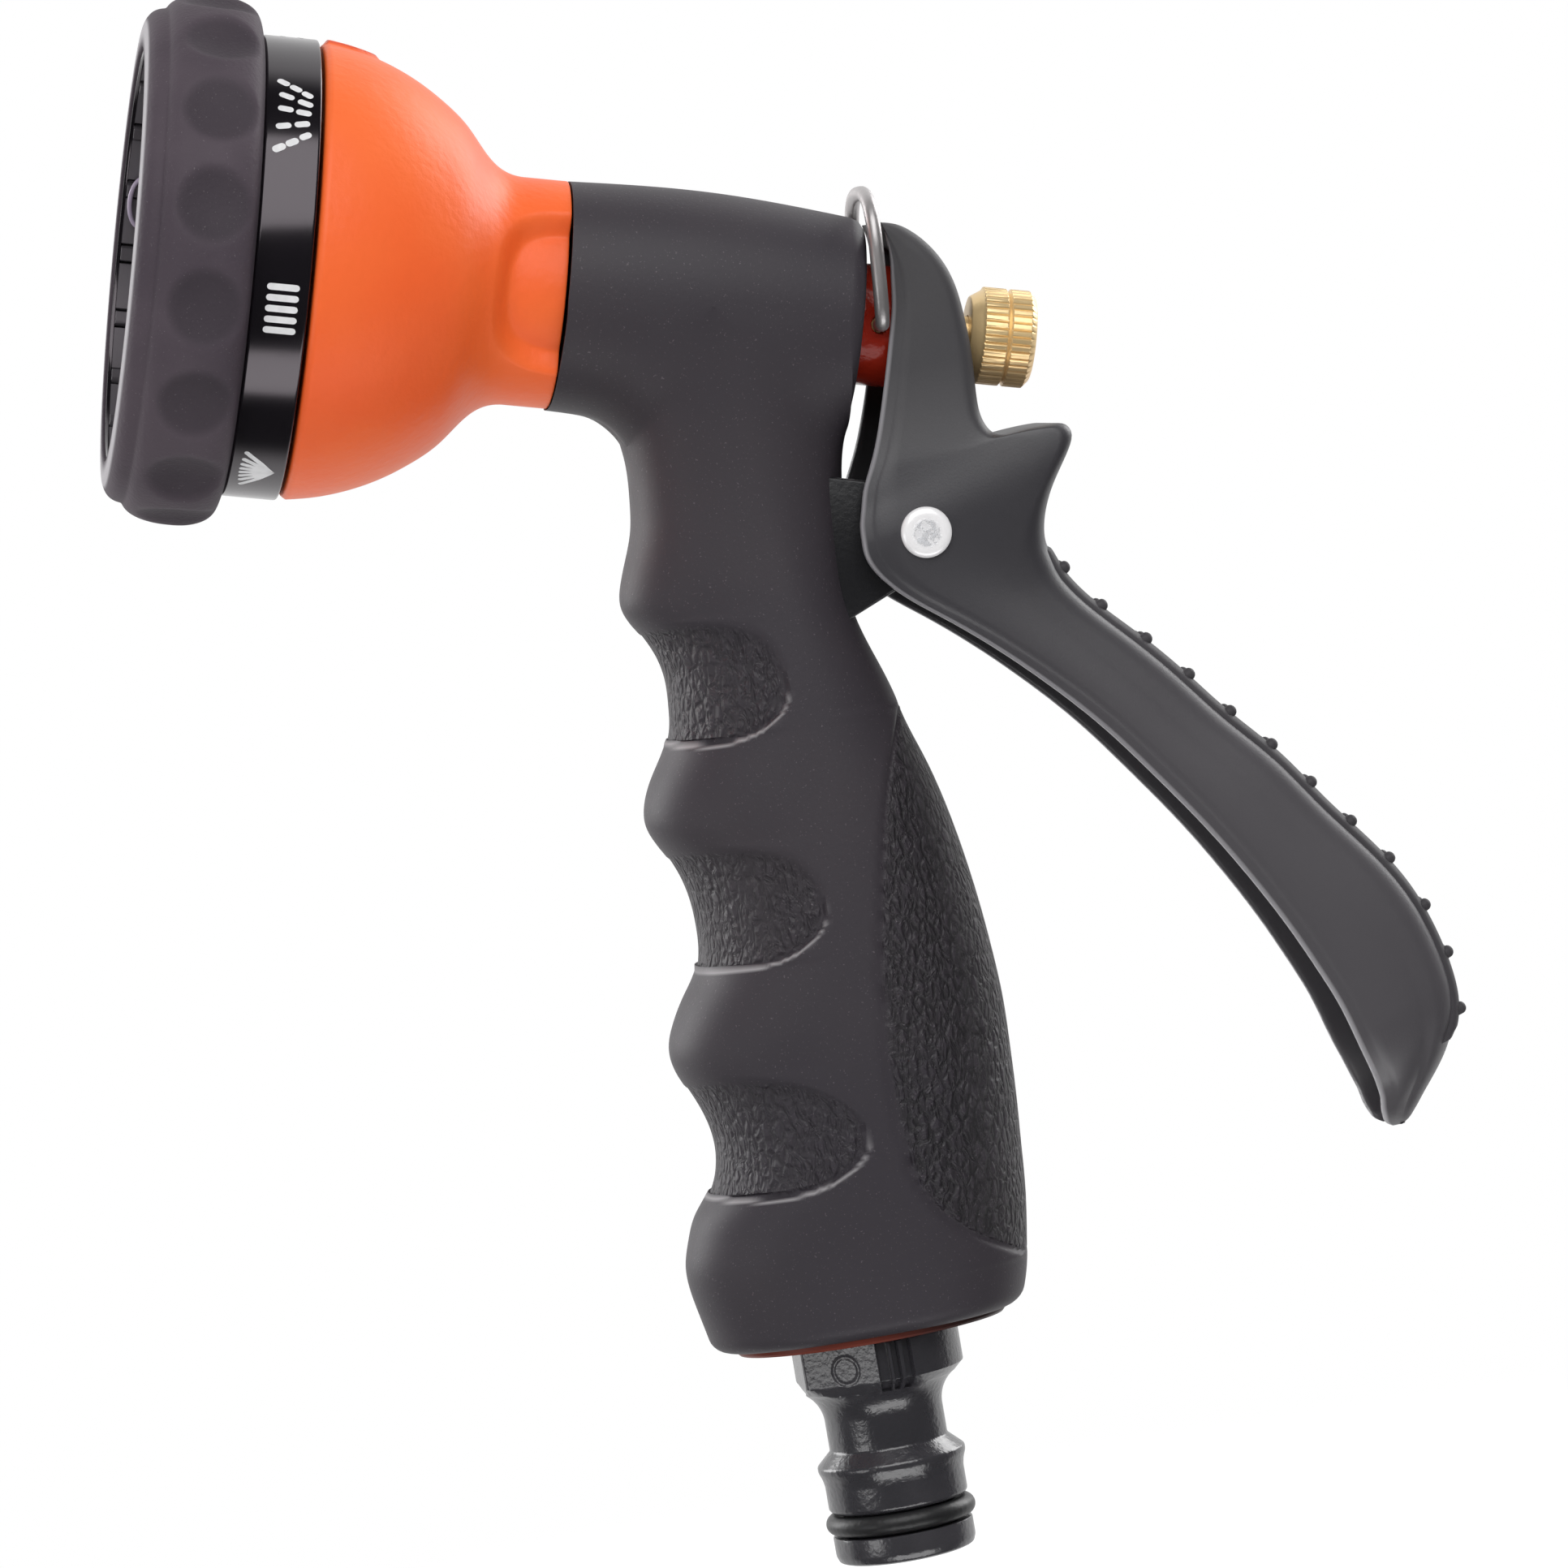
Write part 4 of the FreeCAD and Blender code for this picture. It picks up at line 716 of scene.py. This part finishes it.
step = 2 * math.pi / dimple_count
from_dimple = ((turn - dimple_start + step / 2) % step - step / 2) * 28.6
reach = np.hypot(from_dimple, along - dimple_along)
outside = fade(radius, 26.5, 27.8)
dish = 1 - (reach / dimple_radius) ** 2
ring_radius = radius - outside * dimple_depth * 0.5 * (dish + np.sqrt(dish ** 2 + 0.008) - 0.02)
# ring_mark is a painted highlight along the lip's inner edge (above 0) and painted shade in the dimples (below 0).
ring_mark = fade(-along, 48.66, 48.78) * fade(radius, 24.1, 24.5) - outside * fade(dish, -0.1, 0.5)
ring_rubber = Finish("ring_rubber", {"Specular IOR Level": 0.15})
drift = ring_rubber.noise(45.0, 3.0, 0.55)
sparkle = ring_rubber.noise(4500.0, 1.0, 0.4).step(0.70, 0.8)
tone = ring_rubber.blend(drift.step(0.35, 0.65), (0.067, 0.053, 0.066), (0.090, 0.072, 0.087))
# The dimples are painted darker as painted shade, and the lip's inner edge light grey as a painted highlight.
lip_highlight_and_dimple_shade = ring_rubber.mark()
tone = ring_rubber.blend(lip_highlight_and_dimple_shade * -0.55, tone, (0.036, 0.030, 0.037))
tone = ring_rubber.blend(sparkle * 0.4, tone, (0.22, 0.20, 0.21))
ring_rubber.tint(lip_highlight_and_dimple_shade, tone, (0.46, 0.44, 0.46), Roughness=0.56 + drift * 0.08)
ring_rubber.bump(ring_rubber.noise(1800.0, 2.0, 0.6), 0.00008)
make_piece("grip_ring", [on_barrel(along, ring_radius, turn)], ring_rubber, "dial", ["dial_grip_ring"],
           34.0, closed=True, marks=[ring_mark])

# ---------------------------------------------------------------- lever
# A pressed channel in satin black, open towards the handle: wide along the arm, narrower at the head, with
# a hook under the nut. Each row of its sides runs from a point of its back to the matching point in front.
lever_back_front = [
    ((21.2, 148.9), (21.5, 147.7)), ((23.2, 148.3), (21.6, 145.4)), ((26.0, 145.9), (21.3, 142.6)),
    ((28.2, 141.7), (20.9, 139.6)), ((28.9, 137.0), (20.1, 136.4)), ((29.0, 132.0), (18.8, 131.8)),
    ((28.7, 127.5), (17.4, 127.4)), ((29.0, 124.9), (16.3, 124.4)), ((30.2, 123.4), (15.4, 122.4)),
    ((33.0, 123.35), (14.6, 120.8)), ((36.3, 123.5), (13.9, 119.1)), ((37.9, 123.2), (13.5, 117.6)),
    ((38.45, 122.2), (13.15, 116.4)), ((37.7, 120.2), (12.95, 115.0)), ((35.4, 116.6), (12.9, 113.6)),
    ((34.1, 113.4), (13.05, 112.2)), ((33.8, 111.0), (13.9, 110.4)), ((34.3, 109.0), (16.0, 107.9)),
    ((35.4, 106.4), (20.5, 104.2)), ((38.2, 102.6), (26.0, 99.6)), ((42.1, 98.5), (31.2, 94.6)),
    ((46.5, 93.5), (36.3, 89.0)), ((50.9, 88.0), (41.1, 82.7)), ((56.0, 82.2), (45.9, 75.9)),
    ((60.6, 75.8), (50.1, 69.1)), ((65.2, 69.8), (53.5, 62.8)), ((68.7, 63.9), (56.1, 57.2)),
    ((70.4, 59.1), (57.7, 53.3)), ((71.3, 54.9), (58.7, 50.0)), ((71.5, 51.6), (59.4, 47.6)),
    ((71.0, 48.9), (60.1, 45.4)), ((69.7, 45.9), (60.7, 43.2)), ((67.7, 43.1), (61.0, 41.7)),
    ((66.3, 41.3), (61.1, 40.5)), ((65.3, 39.9), (61.4, 39.4)), ((64.4, 38.9), (61.8, 38.7)),
    ((63.5, 38.3), (62.5, 38.25))]
lever_rows = trace(np.array(lever_back_front).reshape(-1, 4), 300)
lever_back, lever_front = lever_rows[:, :2], lever_rows[:, 2:]
slot_edge, flare = 2.4, 1.0            # half width of the slot in the head, and how far the arm's sides lean out
arm_half, head_half, arm_corner = 10.6, 8.55, 4.4     # half widths, and the radius of the arm's corners
nose_low, nose_high = 115.0, 132.5     # where the arm goes over to the head
tip_from, tip_length = 52.5, 14.3      # where the arm's sides start to close, and over what height


def lever_size(level, on_arm, on_head):
    """A size of the channel at height level: the arm's below the nose, going over smoothly to the head's."""
    return on_arm + (on_head - on_arm) * fade(level, nose_low, nose_high)


def lever_side(back, front):
    """Half of the channel's section from the slot's edge on the back's outside, over the corner, along the
    side to its lip and back inside: (depth from the back, distance from the middle), the same count of both."""
    deep = math.hypot(*(front - back))
    level = (back[1] + front[1]) / 2
    half, wall = lever_size(level, arm_half, head_half), lever_size(level, 2.0, 1.4)
    half *= math.sqrt(1 - 0.92 * min(1.0, max(0.0, (tip_from - level) / tip_length)) ** 2)
    web = min(lever_size(level, 2.6, 2.0), 0.55 * deep)
    corner = min(arm_corner - 2.5 * fade(level, 105.0, 121.0), 0.42 * deep, half - flare - slot_edge - 0.2)
    lip = min(0.55, 0.12 * deep, 0.4 * wall)
    crease = deep - min(1.9, 0.3 * deep)
    bend, quarter = np.linspace(0, math.pi / 2, 9), np.linspace(0, math.pi / 2, 5)
    lean = 0.35 * min(1.0, deep / 8)
    bow = flare * (1 - fade(level, 104.0, 120.0)) * fade(half, 4.0, 9.0)
    outer = [(0, y) for y in np.linspace(slot_edge, half - bow - corner, 6)[:-1]]
    outer += [(corner * (1 - math.cos(t)), half - bow - corner + corner * math.sin(t)) for t in bend]
    outer += [(corner + (crease - corner) * t, half - bow * (1 - t) ** 2) for t in np.linspace(0, 1, 9)[1:]]
    roll = min(1.0, 0.3 * deep / 1.9)
    outer += [(crease + 0.35 * roll, half - 0.5 * lean), (crease + 0.7 * roll, half - 0.8 * lean)]
    outer += [(deep - lip + lip * math.sin(t), half - lean - lip + lip * math.cos(t)) for t in quarter]
    small = min(0.8, 0.3 * web)
    wall = min(wall, half - slot_edge - small - 0.1)
    inner = [(web, y) for y in np.linspace(slot_edge, half - wall - small, 6)[:-1]]
    inner += [(web + small * (1 - math.cos(t)), half - wall - small + small * math.sin(t)) for t in bend]
    crease, end = max(crease, web + small), deep - 0.8 * lip
    inner += [(u, half - wall) for u in np.linspace(web + small, crease, 9)[1:]]
    inner += [(end + (crease - end) * part, half - wall) for part in (0.66, 0.33)]
    inner += [(deep - lip + lip * math.sin(t), half - wall + lip - lip * math.cos(t)) for t in quarter]
    inward = (front - back) / deep
    return [np.array([(*(back + inward * u), y) for u, y in line])[:, [0, 2, 1]] for line in (outer, inner)]


sides = np.array([lever_side(back, front) for back, front in zip(lever_back, lever_front)])
outer, inner = sides[:, 0], sides[:, 1]
middle_y = np.linspace(-1, 1, 5)[None, :, None] * np.array([0.0, slot_edge, 0.0])
off = np.array([1.0, 0.0, 1.0])
web_out, web_in = outer[:, :1] * off + middle_y, inner[:, :1] * off + middle_y
slot_top, slot_end = int(np.argmax(lever_back[:, 1] < 139.2)), int(np.argmax(lever_back[:, 1] < 130.6))
# The lips are painted light grey as a painted highlight along their rounded edges.
lip_highlight = np.zeros(outer.shape[:2])
lip_highlight[:, -5:] = [0.0, 0.5, 1.0, 1.0, 1.0]
lever_parts = []                       # each is a grid and how much painted highlight its points carry
for side in (1.0, -1.0):
    flip = np.array([1.0, side, 1.0])
    lever_parts += [(outer * flip, lip_highlight), (inner * flip, 0.0),
                    (np.stack([outer[:, -1], inner[:, -1]], 1) * flip, 1.0)]
    lever_parts += [(np.stack([outer[k], inner[k]]) * flip, 0.0) for k in (0, -1)]
    lever_parts.append((np.stack([outer[slot_top:slot_end + 1, 0], inner[slot_top:slot_end + 1, 0]]) * flip, 0.0))
for web in (web_out, web_in):
    lever_parts += [(web[:slot_top + 1], 0.0), (web[slot_end:], 0.0)]
lever_parts += [(np.stack([web_out[k], web_in[k]]), 0.0) for k in (0, slot_top, slot_end, -1)]
lever_finish = Finish("lever_satin", {"Specular IOR Level": 1.0})
orange_peel = lever_finish.noise(3800.0, 2.0, 0.6)
cool = lever_finish.noise(38.0, 3.0).step(0.35, 0.65)
lever_tone = lever_finish.blend(cool, (0.034, 0.032, 0.039), (0.041, 0.038, 0.043))
height_here = lever_finish.axis(2)
# Painted light: the arm is painted lighter from 114 mm down to 82 mm and below, for the broad highlight along it.
lever_tone = lever_finish.blend(height_here.step(0.114, 0.082), lever_tone, (0.066, 0.061, 0.069))
lever_finish.tint(lever_finish.mark() * 0.9, lever_tone, (0.34, 0.33, 0.35),
                  Roughness=0.38 + orange_peel * 0.1 + height_here.step(0.118, 0.130) * 0.2)
lever_finish.bump(orange_peel, 0.000012)
make_piece("black_lever", [grid for grid, light in lever_parts], lever_finish, "lever", ["lever"], 50.0,
           marks=[np.broadcast_to(light, grid.shape[:2]) for grid, light in lever_parts])

# ---------------------------------------------------------------- lever pad
# Thin rubber strip let into the arm's back, with four small domes in each of its rows for grip.
pad_low, pad_high = 47.0, 110.6
pad_rows = lever_rows[(lever_rows[:, 1] < pad_high) & (lever_rows[:, 1] > pad_low)]
pad_back, pad_inward = pad_rows[:, :2], pad_rows[:, 2:] - pad_rows[:, :2]
pad_inward = pad_inward / np.linalg.norm(pad_inward, axis=1)[:, None]
pad_across = [(1.2, 7.6), (0.55, 7.7), (-0.1, 7.7), (-0.3, 7.62), (-0.42, 7.4), (-0.48, 7.1), (-0.5, 6.6), (-0.5, 5.0),
              (-0.5, 2.0), (-0.5, 0.0)]
pad_line = np.array(pad_across + [(u, -y) for u, y in pad_across[-2::-1]])
over_corner = np.maximum(np.abs(pad_line[:, 1]) - (arm_half - flare - arm_corner), 0)
pad_line[:, 0] += arm_corner - np.sqrt(arm_corner ** 2 - over_corner ** 2)
end_drop = np.minimum(np.arange(len(pad_rows)), np.arange(len(pad_rows))[::-1])
end_drop = 0.5 * (1 - fade(end_drop, 0, 2.5))
depth = pad_line[None, :, 0] + end_drop[:, None] * (pad_line[None, :, 0] < 0.5)
sunk_to = pad_back[:, None] + pad_inward[:, None] * depth[..., None]
pad_grid = np.stack([sunk_to[..., 0], np.broadcast_to(pad_line[:, 1], depth.shape), sunk_to[..., 1]], -1)
pad_caps = [np.broadcast_to((row[0] + row[-1]) / 2, row.shape)[None] for row in (pad_grid[0], pad_grid[-1])]
pad_grid = np.concatenate([pad_caps[0], pad_grid, pad_caps[1]])
pad_run = np.r_[0, np.cumsum(np.linalg.norm(np.diff(pad_back, axis=0), axis=1))]
dome_rows, dome_across, dome_height, dome_radius, pad_rise = 12, (-6.3, -2.1, 2.1, 6.3), 0.62, 0.72, 0.5
climb, turn = np.meshgrid([1.5, 1.5, 1.2, 0.8, 0.4, 0.02], circle(14), indexing="ij")
dome_out, dome_size = dome_height * np.cos(climb) + pad_rise, dome_radius * np.sin(climb)
dome_out[0] = -0.1                     # the lowest ring goes down into the pad
dome_grids = []
for share in np.linspace(0.04, 0.955, dome_rows):
    row = int(np.searchsorted(pad_run, share * pad_run[-1]))
    centre, inward = pad_back[row], pad_inward[row]
    along = np.array([-inward[1], inward[0]])
    spot = centre - inward * dome_out[..., None] + along * (dome_size * np.cos(turn))[..., None]
    dome_grids += [np.stack([spot[..., 0], y + dome_size * np.sin(turn), spot[..., 1]], -1) for y in dome_across]
pad_finish = Finish("pad_rubber", {"Roughness": 0.62, "Specular IOR Level": 0.4})
pad_finish.tint(pad_finish.noise(70.0, 3.0).step(0.3, 0.7), (0.044, 0.041, 0.046), (0.056, 0.052, 0.058))
pad_finish.bump(pad_finish.noise(3600.0, 2.0, 0.6), 0.000012)
make_piece("rubber_pad", [pad_grid], pad_finish, "lever", ["lever_pad"], 50.0)
make_piece("pad_domes", dome_grids, pad_finish, "lever", closed=True)

# ---------------------------------------------------------------- pivot rivet
# Bright steel rivet with a low dome and a shallow, grey, hammered middle on each side of the lever.
rivet_x, rivet_z = pivot_x - 1.3, pivot_z + 0.1
steel = Finish("rivet_steel", {"Metallic": 0.15, "Roughness": 0.3})
beside, above = (steel.axis(k, move=(-rivet_x / 1000, 0.0, -pivot_z / 1000)) for k in (0, 2))
middle = ((beside * beside + above * above) ** 0.5).step(0.0013, 0.0018)
mottle = steel.noise(1300.0, 4.0, 0.7).step(0.42, 0.6)
steel.tint((1 - middle) * (0.3 + mottle * 0.5), (0.97, 0.96, 0.97), (0.60, 0.61, 0.64),
           Roughness=0.26 + mottle * (1 - middle) * 0.4)
steel.bump(mottle * (1 - middle) + steel.noise(500.0) * 0.2, 0.00010)
rivet_line = softened([(0.03, 11.24), (0.9, 11.26), (1.4, 11.3), (1.9, 11.33), (2.3, 11.28), (2.6, 11.15),
                       (2.82, 10.95), (2.88, 10.7), (2.88, 10.3), (2.3, 10.3), (2.3, 8.0), (0.03, 8.0)], 0.25, 4)
rivet_turn = circle(72)
rivet_grids = [np.stack([rivet_x + rivet_line[:, :1] * np.cos(rivet_turn), np.repeat(side * rivet_line[:, 1:], 72, 1),
                         rivet_z + rivet_line[:, :1] * np.sin(rivet_turn)], -1) for side in (-1.0, 1.0)]
make_piece("steel_rivet", rivet_grids, steel, "body", ["pivot_rivet"], closed=True)

# ---------------------------------------------------------------- flow nut
# Turned brass: a cone in front, straight knurling with a groove round it, and a colour that is darker towards the
# bottom.
nut_front, nut_teeth, tooth_depth, groove_at = 46.9, 40, 0.28, 3.8
nut_line = softened([(-0.5, 2.15), (-0.5, 4.3), (0.75, 5.1), (0.95, 5.4), (0.96, 5.5), (3.5, 5.5), (3.55, 5.45),
                     (3.8, 5.05), (4.05, 5.45), (4.1, 5.5), (6.2, 5.5), (6.25, 5.45), (6.9, 4.7), (6.9, 2.15),
                     (-0.5, 2.15)], 0.12, 3)
along, radius, turn = turned(nut_line, nut_teeth * 8)
tooth = np.abs((turn * nut_teeth / (2 * math.pi)) % 1 - 0.5) * 2
knurled = (fade(along, 0.8, 1.1) * (1 - fade(along, 6.1, 6.5)) * (radius > 5.2)
           * fade(np.abs(along - groove_at), 0.2, 0.3))
nut_radius = radius - tooth_depth * knurled * fade(tooth, 0.62, 0.95)
brass = Finish("nut_brass", {"Metallic": 0.6})
tarnish = brass.noise(260.0, 4.0, 0.6)
brass.tint(brass.axis(2).step(0.1285, 0.1345), (0.86, 0.60, 0.31), (0.92, 0.68, 0.35), Roughness=0.24 + tarnish * 0.16)
brass.bump(tarnish, 0.00008)
make_piece("brass_nut", [on_barrel(nut_front + along, nut_radius, turn)], brass, "nut", ["flow_nut"], 40.0,
           closed=True)

# ---------------------------------------------------------------- lock clip
# A bail of drawn wire hung in the rear boss: two turned-in feet, two legs and a round-shouldered crown.
clip_lean, clip_wire, clip_half, clip_top = math.radians(-11.0), 1.65, 9.75, 14.86
clip_path = softened([(0.0, -6.1), (0.0, -clip_half), (clip_top, -clip_half), (clip_top, clip_half), (0.0, clip_half),
                      (0.0, 6.1)], 8.8, 19)


def tube(path, radius, sides, side_way):
    """Round tube along a path of points: at each, a circle square to the path, closed at both ends."""
    ahead = np.gradient(path, axis=0)
    ahead /= np.linalg.norm(ahead, axis=1)[:, None]
    first = np.cross(ahead, side_way)
    first /= np.linalg.norm(first, axis=1)[:, None]
    second = np.cross(ahead, first)
    turn = circle(sides)
    size = np.r_[0.02, 0.7, 0.93, np.full(len(path) - 2, 1.0), 0.93, 0.7, 0.02] * radius
    order = np.r_[0, 0, 0, np.arange(1, len(path) - 1), [len(path) - 1] * 3]
    back = np.r_[0.0, 0.0, 0.22, np.zeros(len(path) - 2), -0.22, 0.0, 0.0] * radius
    rings = path[order][:, None] + ahead[order][:, None] * back[:, None, None]
    return rings + size[:, None, None] * (np.cos(turn)[None, :, None] * first[order][:, None]
                                          + np.sin(turn)[None, :, None] * second[order][:, None])


def dense(line, gap):
    """The same line with points no further apart than gap."""
    parts = []
    for a, b in zip(line, line[1:]):
        count = max(1, int(math.ceil(np.linalg.norm(b - a) / gap)))
        parts += [a + (b - a) * k / count for k in range(count)]
    return np.array(parts + [line[-1]])


clip_path = dense(clip_path, 1.2)
clip_points = on_barrel(clip_at + clip_path[:, 0] * math.sin(clip_lean), clip_path[:, 0] * math.cos(clip_lean))
clip_points[:, 1] = clip_path[:, 1]
wire = Finish("clip_wire", {"Metallic": 0.8})
drawn = wire.noise(900.0, 3.0, 0.6, wire.place(scale=(1.0, 1.0, 0.15)))
wire.tint(drawn, (0.42, 0.40, 0.40), (0.58, 0.56, 0.56), Roughness=0.30 + drawn * 0.2)
wire.bump(drawn, 0.00005)
make_piece("wire_clip", [tube(clip_points, clip_wire / 2, 24, barrel_back)], wire, "clip", ["lock_clip"],
           closed=True)

# ---------------------------------------------------------------- hose tail
# Click-fit tail in satin black plastic: a groove for its seal ring, a ridge that the connector's claws hold
# behind, a waist and a collar with flats and slots to turn it by. A small moulded ring marks one flat.
tail_line = np.vstack([
    softened([(4.75, 0.4), (5.1, 0.0), (7.0, 0.0), (7.72, 0.25), (8.0, 1.0), (8.0, 3.2), (6.25, 3.2), (6.25, 5.9),
              (7.6, 5.9), (7.95, 6.3), (7.95, 9.0), (8.1, 9.8), (8.45, 10.72), (8.45, 11.3), (6.75, 12.9),
              (6.75, 14.0)], 0.22, 4),
    arc((6.75, 16.4), (7.25, 18.3), (8.6, 19.8), 14), [(8.85, 19.95), (9.7, 20.75), (9.87, 20.88)],
    [(9.9, z) for z in np.linspace(21.0, 25.1, 30)],
    [(9.86, 25.22), (9.76, 25.3), (6.6, 25.3), (4.75, 25.3), (4.75, 0.4)]])
tail_turn = circle(600)[None]
radius, level = tail_line[:, :1], tail_line[:, 1:]


def around(degrees):
    """Angle (radians) from a direction, between minus and plus half a turn."""
    return (tail_turn - math.radians(degrees) + math.pi) % (2 * math.pi) - math.pi


on_collar = (level > 19.7) * (radius > 8.0)
flat_out, collar_edge = 8.75, 20.8     # the flats' distance from the axis, less below the collar's lower edge
slot_depth, slot_radius, mark_radius, mark_level, mark_depth = 0.7, 9.4, 1.55, 22.6, 0.07
flat_here = flat_out - 0.5 * (collar_edge - np.minimum(level, collar_edge))
for flat_turn in (122, 180, 238):
    off_middle = np.cos(around(flat_turn))
    reach = np.where(off_middle > 0.5, flat_here / np.maximum(off_middle, 0.5), 99.0)
    radius = np.where(on_collar, np.minimum(radius, reach), radius)
for slot_turn, width in ((74, 0.45), (82.5, 0.35), (91, 0.6), (269, 0.6), (277.5, 0.35), (286, 0.45)):
    from_slot = np.abs(around(slot_turn)) * slot_radius
    radius = radius - slot_depth * on_collar * (radius > 8.1) * fade(width - from_slot, -0.06, 0.06)
across_flat = flat_out * np.tan(np.clip(around(238), -1.2, 1.2))
ring_mark = np.abs(np.hypot(across_flat - 0.4, level - mark_level) - mark_radius)
radius = radius - mark_depth * on_collar * (np.abs(around(238)) < 0.5) * (1 - fade(ring_mark, 0.1, 0.28))
satin = Finish("satin_black_plastic", {"Specular IOR Level": 1.0})
cloud = satin.noise(90.0, 3.0, 0.6)
satin.tint(cloud.step(0.3, 0.7), (0.030, 0.029, 0.034), (0.042, 0.040, 0.046), Roughness=0.20 + cloud * 0.10)
satin.bump(satin.noise(1600.0, 2.0, 0.5) + cloud * 0.6, 0.00006)
make_piece("hose_tail", [np.stack([radius * np.cos(tail_turn), radius * np.sin(tail_turn),
                                   np.broadcast_to(level, radius.shape)], -1)], satin, "body", ["hose_adaptor"],
           30.0, closed=True)

# ---------------------------------------------------------------- seal ring
# Black rubber O-ring in the tail's groove.
ring_radius, ring_section = 7.42, 1.14
section_turn, ring_turn = circle(24)[:, None], np.linspace(0, 2 * math.pi, 145)
out = ring_radius + ring_section * np.cos(section_turn)
ring_grid = np.stack([out * np.cos(ring_turn), out * np.sin(ring_turn),
                      4.55 + ring_section * np.sin(section_turn) + 0 * ring_turn], -1)
seal = Finish("seal_rubber", {"Roughness": 0.42})
seal.tint(seal.noise(300.0), (0.010, 0.010, 0.011), (0.020, 0.020, 0.021))
seal.bump(seal.noise(1500.0), 0.00005)
make_piece("tail_seal_ring", [ring_grid.transpose(1, 0, 2)], seal, "body", ["adaptor_o_ring"],
           closed=True)

# ---------------------------------------------------------------- pieces inside
# What stays as the model has it gets the finish of its kind: the cup's spray plate, the valve and its seals,
# springs and screws.
spray_black = Finish("spray_plate", {"Roughness": 0.3})
spray_black.tint(spray_black.noise(120.0, 3.0).step(0.3, 0.7), (0.020, 0.020, 0.023), (0.034, 0.033, 0.038))
pale_plastic = Finish("inner_plastic", {"Roughness": 0.4})
pale_plastic.tint(pale_plastic.noise(200.0), (0.30, 0.30, 0.29), (0.40, 0.40, 0.38))
spring = Finish("spring_steel", {"Metallic": 1.0})
spring.tint(spring.noise(500.0), (0.50, 0.50, 0.50), (0.66, 0.66, 0.65), Roughness=0.25 + spring.noise(900.0) * 0.2)
for finish, nodes in [
        (spray_black, ["spray_face", "port_plate"]), (pale_plastic, ["valve_seat", "valve_plug"]),
        (seal, ["face_gasket", "port_seal", "stem_o_ring", "plug_seal", "adaptor_washer"]),
        (brass, ["valve_stem", "stem_gland"]),
        (spring, ["dial_screw", "dial_washer", "detent_ball", "detent_spring", "port_spring", "valve_spring"])]:
    for name in nodes:
        for slot in frame["nodes"][name].material_slots:
            slot.material = finish.owner
